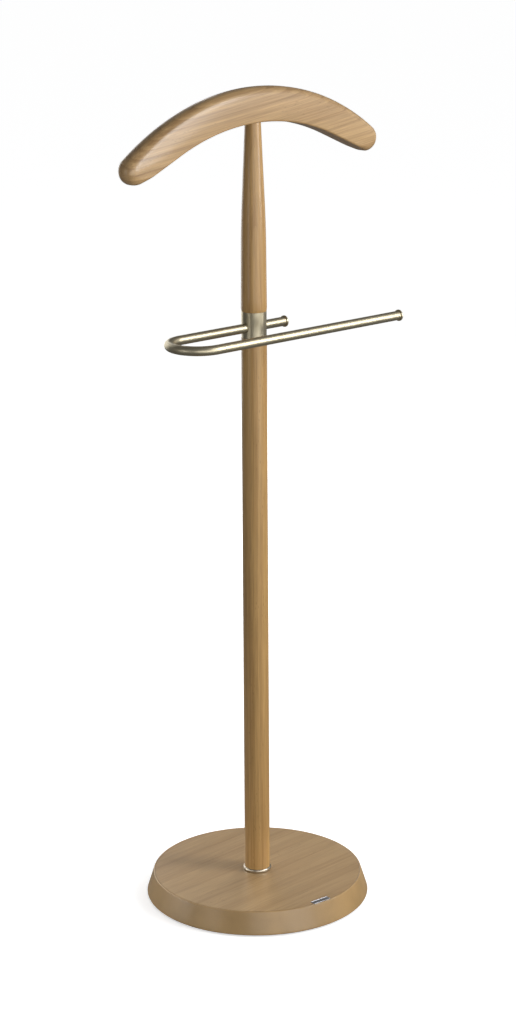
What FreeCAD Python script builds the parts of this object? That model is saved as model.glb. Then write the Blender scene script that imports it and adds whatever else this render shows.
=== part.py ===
"""Valet stand: a weighted round base, a two-part post, a swivelling trouser rail and a suit hanger.

Millimetres. +Z is up and the origin is on the floor, on the post's axis. +X runs along the hanger
and -Y is the front. Every size is a cell of the sheet "Sizes", and every piece is bound to them.
"""
import FreeCAD, Part
import math
import os

import Sketcher

SIZES = {
    # the base
    "base_width": 301,
    "base_flare": 9,
    "board_thickness": 29,
    "rim_width": 2.6,
    "rim_round": 1.1,
    "edge_round": 1.2,
    "veneer_thickness": 0.6,
    "pad_thickness": 2,
    "pad_width": 24,
    "pad_inset": 20.5,
    # the weight under the base
    "recess_depth": 10,
    "ballast_width": 180,
    "ballast_thickness": 7,
    "ballast_gap": 1,
    "ballast_eye": 36,
    "ballast_screw_inset": 20,
    "ballast_screw_width": 4,
    "ballast_screw_grip": 11,
    "ballast_head_width": 8,
    "ballast_head_height": 2.2,
    # the bolt that holds the post
    "bolt_width": 8,
    "bolt_overrun": 4,
    "bolt_head_flats": 13,
    "bolt_head_height": 5.3,
    "washer_width": 28,
    "washer_thickness": 2,
    "hole_clearance": 0.5,
    # threaded inserts and the play left at threads, glue and press fits
    "insert_width": 13,
    "insert_length": 20,
    "insert_relief": 1,
    "pilot_relief": 3,
    "fit_gap": 0.05,
    # the lower post and the ring round its foot
    "post_width": 34,
    "post_length": 746,
    "post_seat": 6,
    "post_chamfer": 0.4,
    "ring_wall": 1.95,
    "ring_height": 4.6,
    "ring_round": 0.8,
    # the sleeve and what is inside it
    "sleeve_step": 0.3,
    "sleeve_wall": 1.5,
    "core_cover": 3.05,
    "plug_length": 12,
    "web_thickness": 3,
    "head_room": 0.7,
    "pivot_width": 8,
    "pivot_head_width": 13,
    "pivot_head_height": 3,
    "pivot_thread_margin": 2,
    "pivot_key_flats": 5,
    "pivot_key_depth": 1.8,
    "friction_washer_thickness": 0.8,
    "set_screw_width": 5,
    "set_screw_recess": 0.6,
    "set_screw_key_flats": 2.5,
    "set_screw_key_depth": 2.5,
    # the trouser rail
    "rail_width": 12.5,
    "rail_wall": 1.2,
    "rail_clearance": 0.65,
    "rail_gap": 75,
    "rail_bend": 126,
    "rail_stub": 52,
    "rail_reach": 190,
    "rail_turn": -4.2,
    "cap_lip": 1.45,
    "cap_thickness": 2.6,
    "cap_round": 0.9,
    "cap_plug_length": 9,
    # the upper post
    "shaft_length": 250.3,
    "shaft_swell": 0.5,
    "shaft_foot_height": 4,
    "shaft_break_height": 116,
    "shaft_break_inset": 0.85,
    "shaft_break_round": 1600,
    "shaft_top_width": 21,
    # the hanger
    "hanger_depth": 45.8,
    "hanger_thickness": 28,
    "hanger_top_arc": 379,
    "hanger_under_arc": 350,
    "hanger_tip_reach": 212,
    "hanger_tip_round": 18,
    "hanger_shoulder_round": 12,
    "hanger_crown_flat": 1,
    "hanger_under_round": 2.6,
    "hanger_seat": 1,
    "dowel_width": 12,
    "dowel_length": 50,
    "dowel_chamfer": 1,
    # the badge plate
    "badge_length": 28,
    "badge_height": 8.4,
    "badge_thickness": 0.6,
    "badge_corner": 1.5,
    "badge_inset": 6.5,
    "badge_turn": -7,
}

# heights above the floor, as expressions of the sheet
BOARD_TOP = "(Sizes.pad_thickness + Sizes.board_thickness)"
RECESS_TOP = "(Sizes.pad_thickness + Sizes.recess_depth)"
POST_FOOT = f"({BOARD_TOP} - Sizes.post_seat)"
POST_TOP = f"({POST_FOOT} + Sizes.post_length)"
RAIL_RISE = ("(Sizes.web_thickness + Sizes.friction_washer_thickness + Sizes.pivot_head_height"
             " + Sizes.rail_clearance + Sizes.rail_width / 2)")
CORE_LENGTH = f"({RAIL_RISE} + Sizes.rail_width / 2 + Sizes.core_cover)"
SLEEVE_LENGTH = f"({CORE_LENGTH} + Sizes.plug_length)"
CORE_TOP = f"({POST_TOP} + {CORE_LENGTH})"
SLEEVE_TOP = f"({POST_TOP} + {SLEEVE_LENGTH})"
RAIL_HEIGHT = f"({POST_TOP} + {RAIL_RISE})"
SHAFT_TOP = f"({SLEEVE_TOP} + Sizes.shaft_length)"
HANGER_UNDER = f"({SHAFT_TOP} - Sizes.hanger_seat)"

# radii that several pieces share
BOLT_RADIUS = "Sizes.bolt_width / 2"
PIVOT_RADIUS = "Sizes.pivot_width / 2"
INSERT_RADIUS = "Sizes.insert_width / 2"
POST_RADIUS = "Sizes.post_width / 2"
SLEEVE_RADIUS = f"({POST_RADIUS} - Sizes.sleeve_step)"
SLEEVE_INNER = f"({SLEEVE_RADIUS} - Sizes.sleeve_wall)"
SHAFT_RADIUS = f"({SLEEVE_RADIUS} + Sizes.shaft_swell)"
RAIL_RADIUS = "Sizes.rail_width / 2"
DOWEL_RADIUS = "Sizes.dowel_width / 2"
BASE_TOP_RADIUS = "(Sizes.base_width / 2 - Sizes.base_flare)"
VENEER_RADIUS = f"({BASE_TOP_RADIUS} - Sizes.rim_width)"
SCREW_CIRCLE = "(Sizes.ballast_width / 2 - Sizes.ballast_screw_inset)"
BORE_DEPTH = "(Sizes.insert_length + Sizes.insert_relief)"
BOLT_REACH = f"({BORE_DEPTH} + Sizes.bolt_overrun)"
DOWEL_HOLE = "(Sizes.dowel_length / 2 + Sizes.insert_relief)"

UPSIDE_DOWN = "rotation(vector(1; 0; 0); 180)"
UPRIGHT = "rotation(vector(0; 0; 1); 0)"
TOWARDS_X = "rotation(vector(0; 1; 0); 90)"
TOWARDS_Y = "rotation(vector(1; 0; 0); -90)"

doc = FreeCAD.newDocument("valet_stand")
sheet = doc.addObject("Spreadsheet::Sheet", "Sizes")
pieces = []


def fill_sheet():
    """Write each size as text in column B, named in column A."""
    for row, (name, size) in enumerate(SIZES.items(), start=1):
        sheet.set(f"A{row}", name)
        sheet.set(f"B{row}", str(size))
        sheet.setAlias(f"B{row}", name)
    doc.recompute()


def value(expression):
    """The number an expression of the sheet gives now."""
    return float(sheet.evalExpression(str(expression)))


def place(piece, height="0", x="0", y="0", rotation=UPRIGHT, turn="0"):
    """Bind a piece's Placement: stood at x, y, height and then turned about the post's axis."""
    spot = f"placement(vector({x}; {y}; {height}); {rotation})"
    about_post = f"placement(vector(0; 0; 0); rotation(vector(0; 0; 1); {turn}))"
    piece.setExpression("Placement", f"{about_post} * {spot}")


def register(piece, label):
    """Give a finished piece the name that its file takes."""
    piece.Label = label
    pieces.append(piece)
    return piece


def new_body(label, **spot):
    """A PartDesign body, placed, that becomes one node."""
    body = doc.addObject("PartDesign::Body", f"body_{label}")
    place(body, **spot)
    return register(body, label)


def origin_plane(body, role):
    """One of the body's own origin planes or axes, found by its role."""
    return next(item for item in body.Origin.OriginFeatures if item.Role == role)


def new_sketch(body, name, role, offset=None):
    """A sketch on one of the body's own planes, moved along its normal by an expression."""
    sketch = body.newObject("Sketcher::SketchObject", f"{name}_{body.Name}")
    sketch.AttachmentSupport = [(origin_plane(body, role), "")]
    sketch.MapMode = "FlatFace"
    if offset is not None:
        sketch.setExpression("AttachmentOffset.Base.z", offset)
    return sketch


def pin(sketch, geometry, point, across, up):
    """Fix a point of the sketch at two expressions, measured from the sketch's origin."""
    for kind, axis, expression in (("DistanceX", -2, across), ("DistanceY", -1, up)):
        size = value(expression)
        if abs(size) < 1e-9:
            sketch.addConstraint(Sketcher.Constraint("PointOnObject", geometry, point, axis))
            continue
        if size > 0:
            constraint = Sketcher.Constraint(kind, -1, 1, geometry, point, size)
            bound = str(expression)
        else:
            constraint = Sketcher.Constraint(kind, geometry, point, -1, 1, -size)
            bound = f"-({expression})"
        index = sketch.addConstraint(constraint)
        sketch.setExpression(f"Constraints[{index}]", bound)


def bind_radius(sketch, geometry, radius):
    """Give a circle or an arc of the sketch a radius from an expression."""
    index = sketch.addConstraint(Sketcher.Constraint("Radius", geometry, value(radius)))
    sketch.setExpression(f"Constraints[{index}]", str(radius))


def draw_circle(sketch, radius, across="0", up="0"):
    """A full circle, bound to its expressions."""
    centre = FreeCAD.Vector(value(across), value(up), 0)
    index = sketch.addGeometry(Part.Circle(centre, FreeCAD.Vector(0, 0, 1), value(radius)))
    pin(sketch, index, 3, across, up)
    bind_radius(sketch, index, radius)


def rounded_corner(sketch, before, corner, after, radius):
    """Where a rounded corner leaves its two lines, with the arc and the corner it stands for."""
    back = (before - corner).normalize()
    ahead = (after - corner).normalize()
    half_angle = back.getAngle(ahead) / 2
    first = corner + back * (radius / math.tan(half_angle))
    last = corner + ahead * (radius / math.tan(half_angle))
    centre = corner + (back + ahead).normalize() * (radius / math.sin(half_angle))
    turns_left = back.cross(ahead).z < 0
    start, end = (first, last) if turns_left else (last, first)
    angles = [math.atan2(spot.y - centre.y, spot.x - centre.x) for spot in (start, end)]
    circle = Part.Circle(centre, FreeCAD.Vector(0, 0, 1), radius)
    arc = sketch.addGeometry(Part.ArcOfCircle(circle, *angles))
    mark = sketch.addGeometry(Part.Point(corner), True)
    return first, last, arc, mark, turns_left


def draw_outline(sketch, corners):
    """A closed outline of straight lines; a corner's third value, if any, rounds it with an arc."""
    points = [FreeCAD.Vector(value(corner[0]), value(corner[1]), 0) for corner in corners]
    count = len(points)
    starts = list(points)
    ends = [points[(index + 1) % count] for index in range(count)]
    arcs = {}
    for index, corner in enumerate(corners):
        if len(corner) == 3:
            before, after = points[index - 1], points[(index + 1) % count]
            first, last, *arcs[index] = rounded_corner(sketch, before, points[index], after, value(corner[2]))
            ends[index - 1], starts[index] = first, last
    lines = [sketch.addGeometry(Part.LineSegment(start, end)) for start, end in zip(starts, ends)]
    for index, corner in enumerate(corners):
        before, line = lines[index - 1], lines[index]
        if index not in arcs:
            sketch.addConstraint(Sketcher.Constraint("Coincident", before, 2, line, 1))
            pin(sketch, line, 1, corner[0], corner[1])
            continue
        arc, mark, turns_left = arcs[index]
        arc_start, arc_end = (1, 2) if turns_left else (2, 1)
        pin(sketch, mark, 1, corner[0], corner[1])
        sketch.addConstraint(Sketcher.Constraint("Tangent", before, 2, arc, arc_start))
        sketch.addConstraint(Sketcher.Constraint("Tangent", arc, arc_end, line, 1))
        sketch.addConstraint(Sketcher.Constraint("PointOnObject", mark, 1, before))
        sketch.addConstraint(Sketcher.Constraint("PointOnObject", mark, 1, line))
        bind_radius(sketch, arc, corner[2])


def hexagon(flats):
    """The six corners of a hexagon that measures flats across."""
    return [
        (f"{flats} / sqrt(3) * cos({angle})", f"{flats} / sqrt(3) * sin({angle})")
        for angle in range(30, 390, 60)
    ]


def turned(label, profile, **spot):
    """A lathe-turned piece from a closed profile of (radius, height) expressions."""
    body = new_body(label, **spot)
    sketch = new_sketch(body, "profile", "XZ_Plane")
    draw_outline(sketch, profile)
    revolution = body.newObject("PartDesign::Revolution", f"turning_{label}")
    revolution.Profile = sketch
    revolution.ReferenceAxis = (sketch, ["V_Axis"])
    revolution.Angle = 360
    doc.recompute()
    return body


def tube_profile(inner, outer, length):
    """The profile of a plain ring or washer."""
    return [(inner, "0"), (outer, "0"), (outer, length), (inner, length)]


def pad(body, sketch, length, midplane=False):
    """Extrude a sketch along its normal, or half to each side."""
    feature = body.newObject("PartDesign::Pad", f"pad_{sketch.Name}")
    feature.Profile = sketch
    feature.Midplane = midplane
    feature.setExpression("Length", length)
    doc.recompute()
    return feature


def pocket(body, sketch, length, reverse=False, midplane=False):
    """Cut a sketch into the body and make sure that it took something away."""
    before = body.Shape.Volume
    feature = body.newObject("PartDesign::Pocket", f"pocket_{sketch.Name}")
    feature.Profile = sketch
    feature.Reversed = reverse
    feature.Midplane = midplane
    feature.setExpression("Length", length)
    doc.recompute()
    if not body.Shape.Volume < before - 1e-3:
        raise RuntimeError(f"{feature.Name} cut nothing")
    return feature


def ring_of(body, features, count):
    """Repeat features round the body's own Z axis."""
    pattern = body.newObject("PartDesign::PolarPattern", f"ring_{body.Name}")
    pattern.Originals = features
    pattern.Axis = (origin_plane(body, "Z_Axis"), [""])
    pattern.Angle = 360
    pattern.Occurrences = count
    body.Tip = pattern
    doc.recompute()


def round_edges(body, radius, wanted):
    """Fillet the edges of the body's last feature that wanted(edge) picks."""
    base = body.Tip
    names = [f"Edge{index}" for index, edge in enumerate(base.Shape.Edges, start=1) if wanted(edge)]
    if not names:
        raise RuntimeError(f"no edge to round on {body.Label}")
    fillet = body.newObject("PartDesign::Fillet", f"round_{base.Name}")
    fillet.Base = (base, names)
    fillet.setExpression("Radius", radius)
    doc.recompute()


def circle_at(radius, height):
    """A test for a full circle about the body's axis, at a radius and a height."""
    wanted_radius = value(radius)
    wanted_height = value(height)

    def test(edge):
        curve = edge.Curve
        if curve.TypeId != "Part::GeomCircle":
            return False
        return abs(curve.Radius - wanted_radius) < 1e-4 and abs(curve.Center.z - wanted_height) < 1e-4

    return test


def make_base():
    """The board with its socket and recess, the veneer let into its top, and the badge plate."""
    thickness = "Sizes.board_thickness"
    rebate = f"{thickness} - Sizes.veneer_thickness"
    socket = f"{thickness} - Sizes.post_seat"
    socket_radius = f"{POST_RADIUS} + Sizes.fit_gap"
    rebate_radius = f"{VENEER_RADIUS} + Sizes.fit_gap"
    bolt_hole = f"{BOLT_RADIUS} + Sizes.hole_clearance"
    recess = "Sizes.ballast_width / 2 + Sizes.ballast_gap"
    board = turned("base_board", [
        (recess, "0"),
        ("Sizes.base_width / 2", "0"),
        (BASE_TOP_RADIUS, thickness),
        (rebate_radius, thickness),
        (rebate_radius, rebate),
        (socket_radius, rebate),
        (socket_radius, socket),
        (bolt_hole, socket),
        (bolt_hole, "Sizes.recess_depth"),
        (recess, "Sizes.recess_depth"),
    ], height="Sizes.pad_thickness")
    round_edges(board, "Sizes.rim_round", circle_at(BASE_TOP_RADIUS, thickness))
    round_edges(board, "Sizes.edge_round", circle_at("Sizes.base_width / 2", "0"))
    pilot = new_sketch(board, "pilot", "XY_Plane")
    draw_circle(pilot, "Sizes.ballast_screw_width / 2 + Sizes.fit_gap", SCREW_CIRCLE)
    hole_depth = "Sizes.recess_depth + Sizes.ballast_screw_grip + Sizes.insert_relief"
    ring_of(board, [pocket(board, pilot, hole_depth, reverse=True)], 4)

    turned("base_veneer", tube_profile(socket_radius, VENEER_RADIUS, "Sizes.veneer_thickness"),
           height=f"{BOARD_TOP} - Sizes.veneer_thickness")

    badge = new_body("badge_plate", y=f"Sizes.badge_inset - {BASE_TOP_RADIUS}", height=BOARD_TOP,
                     turn="Sizes.badge_turn")
    face = new_sketch(badge, "face", "XY_Plane")
    half_length = "Sizes.badge_length / 2"
    half_height = "Sizes.badge_height / 2"
    draw_outline(face, [
        (f"-{half_length}", f"-{half_height}"),
        (half_length, f"-{half_height}"),
        (half_length, half_height),
        (f"-{half_length}", half_height),
    ])
    pad(badge, face, "Sizes.badge_thickness")
    round_edges(badge, "Sizes.badge_corner", lambda edge: abs(edge.tangentAt(edge.FirstParameter).z) > 0.9)


def make_ballast():
    """The steel disc in the recess and the four screws that hold it."""
    plate_foot = f"{RECESS_TOP} - Sizes.ballast_thickness"
    disc = tube_profile("Sizes.ballast_eye / 2", "Sizes.ballast_width / 2", "Sizes.ballast_thickness")
    plate = turned("ballast_plate", disc, height=plate_foot)
    hole = new_sketch(plate, "hole", "XY_Plane")
    draw_circle(hole, "Sizes.ballast_screw_width / 2 + Sizes.hole_clearance", SCREW_CIRCLE)
    ring_of(plate, [pocket(plate, hole, "Sizes.ballast_thickness", reverse=True)], 4)

    screws = new_body("ballast_screws", height=f"{plate_foot} - Sizes.ballast_head_height")
    screws.AllowCompound = True
    head = new_sketch(screws, "head", "XY_Plane")
    draw_circle(head, "Sizes.ballast_head_width / 2", SCREW_CIRCLE)
    head_pad = pad(screws, head, "Sizes.ballast_head_height")
    shank = new_sketch(screws, "shank", "XY_Plane")
    draw_circle(shank, "Sizes.ballast_screw_width / 2", SCREW_CIRCLE)
    shank_length = "Sizes.ballast_head_height + Sizes.ballast_thickness + Sizes.ballast_screw_grip"
    ring_of(screws, [head_pad, pad(screws, shank, shank_length)], 4)


def make_pads():
    """Six felt pads under the base's rim."""
    pads = new_body("felt_pads")
    pads.AllowCompound = True
    disc = new_sketch(pads, "disc", "XY_Plane")
    draw_circle(disc, "Sizes.pad_width / 2", "Sizes.base_width / 2 - Sizes.pad_inset")
    ring_of(pads, [pad(pads, disc, "Sizes.pad_thickness")], 6)


def make_base_bolt():
    """The hexagon bolt and its washer, from the recess up into the foot of the post."""
    washer_foot = f"({RECESS_TOP} - Sizes.washer_thickness)"
    washer_hole = f"{BOLT_RADIUS} + Sizes.hole_clearance / 2"
    disc = tube_profile(washer_hole, "Sizes.washer_width / 2", "Sizes.washer_thickness")
    turned("base_washer", disc, height=washer_foot)
    bolt = new_body("base_bolt", height=f"{washer_foot} - Sizes.bolt_head_height")
    head = new_sketch(bolt, "head", "XY_Plane")
    draw_outline(head, hexagon("Sizes.bolt_head_flats"))
    pad(bolt, head, "Sizes.bolt_head_height")
    shank = new_sketch(bolt, "shank", "XY_Plane")
    draw_circle(shank, BOLT_RADIUS)
    pad(bolt, shank, f"{POST_FOOT} + {BOLT_REACH} - {washer_foot} + Sizes.bolt_head_height")


def make_insert(label, thread_radius, height):
    """A threaded insert, its thread drawn as a plain bore."""
    profile = tube_profile(f"{thread_radius} + Sizes.fit_gap", INSERT_RADIUS, "Sizes.insert_length")
    turned(label, profile, height=height)


def make_lower_post():
    """The straight post, bored for an insert at each end, its two inserts and the ring at its foot."""
    bore = f"{INSERT_RADIUS} + Sizes.fit_gap"
    pilot = f"{BOLT_RADIUS} + Sizes.hole_clearance"
    pilot_depth = f"{BOLT_REACH} + Sizes.pilot_relief"
    length = "Sizes.post_length"
    turned("lower_post", [
        ("0", pilot_depth),
        (pilot, pilot_depth),
        (pilot, BORE_DEPTH),
        (bore, BORE_DEPTH),
        (bore, "0"),
        (POST_RADIUS, "0"),
        (POST_RADIUS, f"{length} - Sizes.post_chamfer"),
        (f"{POST_RADIUS} - Sizes.post_chamfer", length),
        (bore, length),
        (bore, f"{length} - {BORE_DEPTH}"),
        ("0", f"{length} - {BORE_DEPTH}"),
    ], height=POST_FOOT)
    make_insert("post_foot_insert", BOLT_RADIUS, f"{POST_FOOT} + Sizes.insert_relief")
    make_insert("post_top_insert", PIVOT_RADIUS, f"{POST_TOP} - {BORE_DEPTH}")

    ring_inner = f"({POST_RADIUS} + Sizes.fit_gap)"
    ring_outer = f"{ring_inner} + Sizes.ring_wall"
    ring = turned("foot_ring", tube_profile(ring_inner, ring_outer, "Sizes.ring_height"), height=BOARD_TOP)
    outer_edge = circle_at(ring_outer, "Sizes.ring_height")
    inner_edge = circle_at(ring_inner, "Sizes.ring_height")
    round_edges(ring, "Sizes.ring_round", lambda edge: outer_edge(edge) or inner_edge(edge))


def make_pivot_screw(end, under_head, flipped):
    """The screw at one end of the sleeve and its friction washer, which lies on the web's face."""
    direction = "-1" if flipped else "1"
    rotation = UPSIDE_DOWN if flipped else UPRIGHT
    washer = "Sizes.friction_washer_thickness"
    head_foot = f"{under_head} + ({direction}) * {washer}"
    shank = f"(Sizes.web_thickness + {washer} + Sizes.insert_length - Sizes.pivot_thread_margin)"
    head_top = "Sizes.pivot_head_height"
    screw = turned(f"{end}_pivot_screw", [
        ("0", f"-{shank}"),
        (PIVOT_RADIUS, f"-{shank}"),
        (PIVOT_RADIUS, "0"),
        ("Sizes.pivot_head_width / 2", "0"),
        ("Sizes.pivot_head_width / 2", head_top),
        ("0", head_top),
    ], height=head_foot, rotation=rotation)
    key = new_sketch(screw, "key", "XY_Plane", offset=head_top)
    draw_outline(key, hexagon("Sizes.pivot_key_flats"))
    pocket(screw, key, "Sizes.pivot_key_depth")
    disc = tube_profile(f"{PIVOT_RADIUS} + Sizes.fit_gap", "Sizes.pivot_head_width / 2", washer)
    turned(f"{end}_friction_washer", disc, height=under_head, rotation=rotation)


def cross_holes(body, hole_radius):
    """Bore a piece for the rail along X, and for the set screw from its back."""
    across = new_sketch(body, "rail_hole", "YZ_Plane")
    draw_circle(across, hole_radius, "0", RAIL_RISE)
    pocket(body, across, "2 * Sizes.post_width", midplane=True)
    back = new_sketch(body, "screw_hole", "XZ_Plane")
    draw_circle(back, "Sizes.set_screw_width / 2 + Sizes.fit_gap", "0", RAIL_RISE)
    pocket(body, back, "Sizes.post_width")


def make_sleeve():
    """The sleeve, the core that carries the rail, the plug above it and the rail's set screw."""
    turn = "Sizes.rail_turn"
    rail_hole = f"{RAIL_RADIUS} + Sizes.fit_gap"
    journal = f"{PIVOT_RADIUS} + Sizes.fit_gap"
    head_room = "Sizes.pivot_head_width / 2 + Sizes.head_room"
    core_radius = f"{SLEEVE_INNER} - Sizes.fit_gap"
    sleeve = turned("sleeve", tube_profile(SLEEVE_INNER, SLEEVE_RADIUS, SLEEVE_LENGTH),
                    height=POST_TOP, turn=turn)
    cross_holes(sleeve, rail_hole)

    core = turned("sleeve_core", [
        (journal, "0"),
        (core_radius, "0"),
        (core_radius, CORE_LENGTH),
        (head_room, CORE_LENGTH),
        (head_room, "Sizes.web_thickness"),
        (journal, "Sizes.web_thickness"),
    ], height=POST_TOP, turn=turn)
    cross_holes(core, rail_hole)

    plug_length = "Sizes.plug_length"
    turned("sleeve_plug", [
        (head_room, "0"),
        (core_radius, "0"),
        (core_radius, plug_length),
        (journal, plug_length),
        (journal, f"{plug_length} - Sizes.web_thickness"),
        (head_room, f"{plug_length} - Sizes.web_thickness"),
    ], height=CORE_TOP, turn=turn)

    make_pivot_screw("lower", f"{POST_TOP} + Sizes.web_thickness", flipped=False)
    make_pivot_screw("upper", f"{SLEEVE_TOP} - Sizes.web_thickness", flipped=True)

    screw_foot = RAIL_RADIUS
    screw_length = f"({SLEEVE_RADIUS} - Sizes.set_screw_recess - {RAIL_RADIUS})"
    screw = turned("rail_set_screw", [
        ("0", "0"),
        ("Sizes.set_screw_width / 2", "0"),
        ("Sizes.set_screw_width / 2", screw_length),
        ("0", screw_length),
    ], y=screw_foot, height=RAIL_HEIGHT, rotation=TOWARDS_Y, turn=turn)
    key = new_sketch(screw, "key", "XY_Plane", offset=screw_length)
    draw_outline(key, hexagon("Sizes.set_screw_key_flats"))
    pocket(screw, key, "Sizes.set_screw_key_depth")


def make_rail():
    """The bent tube: a short leg through the sleeve, a half-round bend and a long front leg."""
    turn = "Sizes.rail_turn"
    rail = new_body("trouser_rail", height=RAIL_HEIGHT, turn=turn)
    path = new_sketch(rail, "path", "XY_Plane")
    stub = value("Sizes.rail_stub")
    reach = value("Sizes.rail_reach")
    bend = value("Sizes.rail_bend")
    gap = value("Sizes.rail_gap")
    centre = FreeCAD.Vector(-bend, -gap / 2, 0)
    back_leg = path.addGeometry(Part.LineSegment(FreeCAD.Vector(stub, 0, 0), FreeCAD.Vector(-bend, 0, 0)))
    circle = Part.Circle(centre, FreeCAD.Vector(0, 0, 1), gap / 2)
    arc = path.addGeometry(Part.ArcOfCircle(circle, math.pi / 2, 3 * math.pi / 2))
    front_ends = FreeCAD.Vector(-bend, -gap, 0), FreeCAD.Vector(reach, -gap, 0)
    front_leg = path.addGeometry(Part.LineSegment(*front_ends))
    path.addConstraint(Sketcher.Constraint("Coincident", back_leg, 2, arc, 1))
    path.addConstraint(Sketcher.Constraint("Coincident", arc, 2, front_leg, 1))
    pin(path, back_leg, 1, "Sizes.rail_stub", "0")
    pin(path, back_leg, 2, "-Sizes.rail_bend", "0")
    pin(path, arc, 3, "-Sizes.rail_bend", "-Sizes.rail_gap / 2")
    path.addConstraint(Sketcher.Constraint("Vertical", arc, 1, arc, 2))
    path.addConstraint(Sketcher.Constraint("Horizontal", front_leg))
    path.addConstraint(Sketcher.Constraint("DistanceX", -1, 1, front_leg, 2, reach))
    path.setExpression(f"Constraints[{path.ConstraintCount - 1}]", "Sizes.rail_reach")
    section = new_sketch(rail, "section", "YZ_Plane", offset="Sizes.rail_stub")
    draw_circle(section, RAIL_RADIUS)
    draw_circle(section, f"{RAIL_RADIUS} - Sizes.rail_wall")
    doc.recompute()
    pipe = rail.newObject("PartDesign::AdditivePipe", "bent_tube")
    pipe.Profile = section
    pipe.Spine = (path, [])
    pipe.Transition = "Transformed"
    doc.recompute()

    cap_radius = f"{RAIL_RADIUS} + Sizes.cap_lip"
    cap = [
        ("0", "-Sizes.cap_plug_length"),
        (f"{RAIL_RADIUS} - Sizes.rail_wall - Sizes.fit_gap", "-Sizes.cap_plug_length"),
        (f"{RAIL_RADIUS} - Sizes.rail_wall - Sizes.fit_gap", "0"),
        (cap_radius, "0"),
        (cap_radius, "Sizes.cap_thickness"),
        ("0", "Sizes.cap_thickness"),
    ]
    for label, end, leg in (
        ("rail_cap_short", "Sizes.rail_stub", "0"),
        ("rail_cap_long", "Sizes.rail_reach", "-Sizes.rail_gap"),
    ):
        body = turned(label, cap, x=end, y=leg, height=RAIL_HEIGHT, rotation=TOWARDS_X, turn=turn)
        round_edges(body, "Sizes.cap_round", circle_at(cap_radius, "Sizes.cap_thickness"))


def make_upper_post():
    """The turned upper post, nearly straight and then tapering to the hanger, and its insert."""
    bore = f"{INSERT_RADIUS} + Sizes.fit_gap"
    dowel = f"{DOWEL_RADIUS} + Sizes.fit_gap"
    top = "Sizes.shaft_length"
    turned("upper_post", [
        ("0", BORE_DEPTH),
        (bore, BORE_DEPTH),
        (bore, "0"),
        (SLEEVE_RADIUS, "0"),
        (SHAFT_RADIUS, "Sizes.shaft_foot_height"),
        (f"{SHAFT_RADIUS} - Sizes.shaft_break_inset", "Sizes.shaft_break_height", "Sizes.shaft_break_round"),
        ("Sizes.shaft_top_width / 2", top),
        (dowel, top),
        (dowel, f"{top} - {DOWEL_HOLE}"),
        ("0", f"{top} - {DOWEL_HOLE}"),
    ], height=SLEEVE_TOP)
    make_insert("upper_post_insert", PIVOT_RADIUS, f"{SLEEVE_TOP} + Sizes.insert_relief")


def draw_hanger_outline(sketch):
    """Two long arcs, above and below, joined at each end by a round tip and a short straight."""
    depth = value("Sizes.hanger_depth")
    top_arc = value("Sizes.hanger_top_arc")
    under_arc = value("Sizes.hanger_under_arc")
    reach = value("Sizes.hanger_tip_reach")
    tip = value("Sizes.hanger_tip_round")
    top_centre = depth - top_arc
    tip_height = top_centre + math.sqrt((top_arc - tip) ** 2 - reach**2)
    lean = math.asin(reach / (top_arc - tip))
    to_tip = math.hypot(reach, tip_height + under_arc)
    leave = math.atan2(reach, tip_height + under_arc) - math.acos((under_arc + tip) / to_tip)
    axis = FreeCAD.Vector(0, 0, 1)
    upper = Part.Circle(FreeCAD.Vector(0, top_centre, 0), axis, top_arc)
    lower = Part.Circle(FreeCAD.Vector(0, -under_arc, 0), axis, under_arc)
    quarter = math.pi / 2
    top = sketch.addGeometry(Part.ArcOfCircle(upper, quarter - lean, quarter + lean))
    under = sketch.addGeometry(Part.ArcOfCircle(lower, quarter - leave, quarter + leave))
    sketch.addConstraint(Sketcher.Constraint("PointOnObject", top, 3, -2))
    sketch.addConstraint(Sketcher.Constraint("PointOnObject", under, 3, -2))
    bind_radius(sketch, top, "Sizes.hanger_top_arc")
    bind_radius(sketch, under, "Sizes.hanger_under_arc")
    for arc, height in (
        (top, "Sizes.hanger_top_arc - Sizes.hanger_depth"),
        (under, "Sizes.hanger_under_arc"),
    ):
        index = sketch.addConstraint(Sketcher.Constraint("DistanceY", arc, 3, -1, 1, value(height)))
        sketch.setExpression(f"Constraints[{index}]", height)
    for side in (1, -1):
        centre = FreeCAD.Vector(side * reach, tip_height, 0)
        start = quarter - side * lean
        end = -quarter - side * leave
        first, last = (end, start) if side > 0 else (start, end)
        round_tip = sketch.addGeometry(Part.ArcOfCircle(Part.Circle(centre, axis, tip), first, last))
        out = FreeCAD.Vector(side * math.sin(leave), math.cos(leave), 0)
        on_under = FreeCAD.Vector(0, -under_arc, 0) + out * under_arc
        straight = sketch.addGeometry(Part.LineSegment(centre - out * tip, on_under))
        upper_end, lower_end = (2, 1) if side > 0 else (1, 2)
        top_end, under_end = (1, 1) if side > 0 else (2, 2)
        sketch.addConstraint(Sketcher.Constraint("Tangent", top, top_end, round_tip, upper_end))
        sketch.addConstraint(Sketcher.Constraint("Tangent", round_tip, lower_end, straight, 1))
        sketch.addConstraint(Sketcher.Constraint("Tangent", straight, 2, under, under_end))
        bind_radius(sketch, round_tip, "Sizes.hanger_tip_round")
        ends = (-1, 1, round_tip, 3) if side > 0 else (round_tip, 3, -1, 1)
        index = sketch.addConstraint(Sketcher.Constraint("DistanceX", *ends, reach))
        sketch.setExpression(f"Constraints[{index}]", "Sizes.hanger_tip_reach")


def make_cutter(name, radius, depth):
    """A cylinder that cuts to a depth and starts as far below the curved underside as the seat is deep."""
    cutter = doc.addObject("Part::Cylinder", name)
    cutter.setExpression("Radius", radius)
    cutter.setExpression("Height", f"Sizes.hanger_seat + {depth}")
    cutter.setExpression("Placement.Base.z", "-Sizes.hanger_seat")
    return cutter


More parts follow.
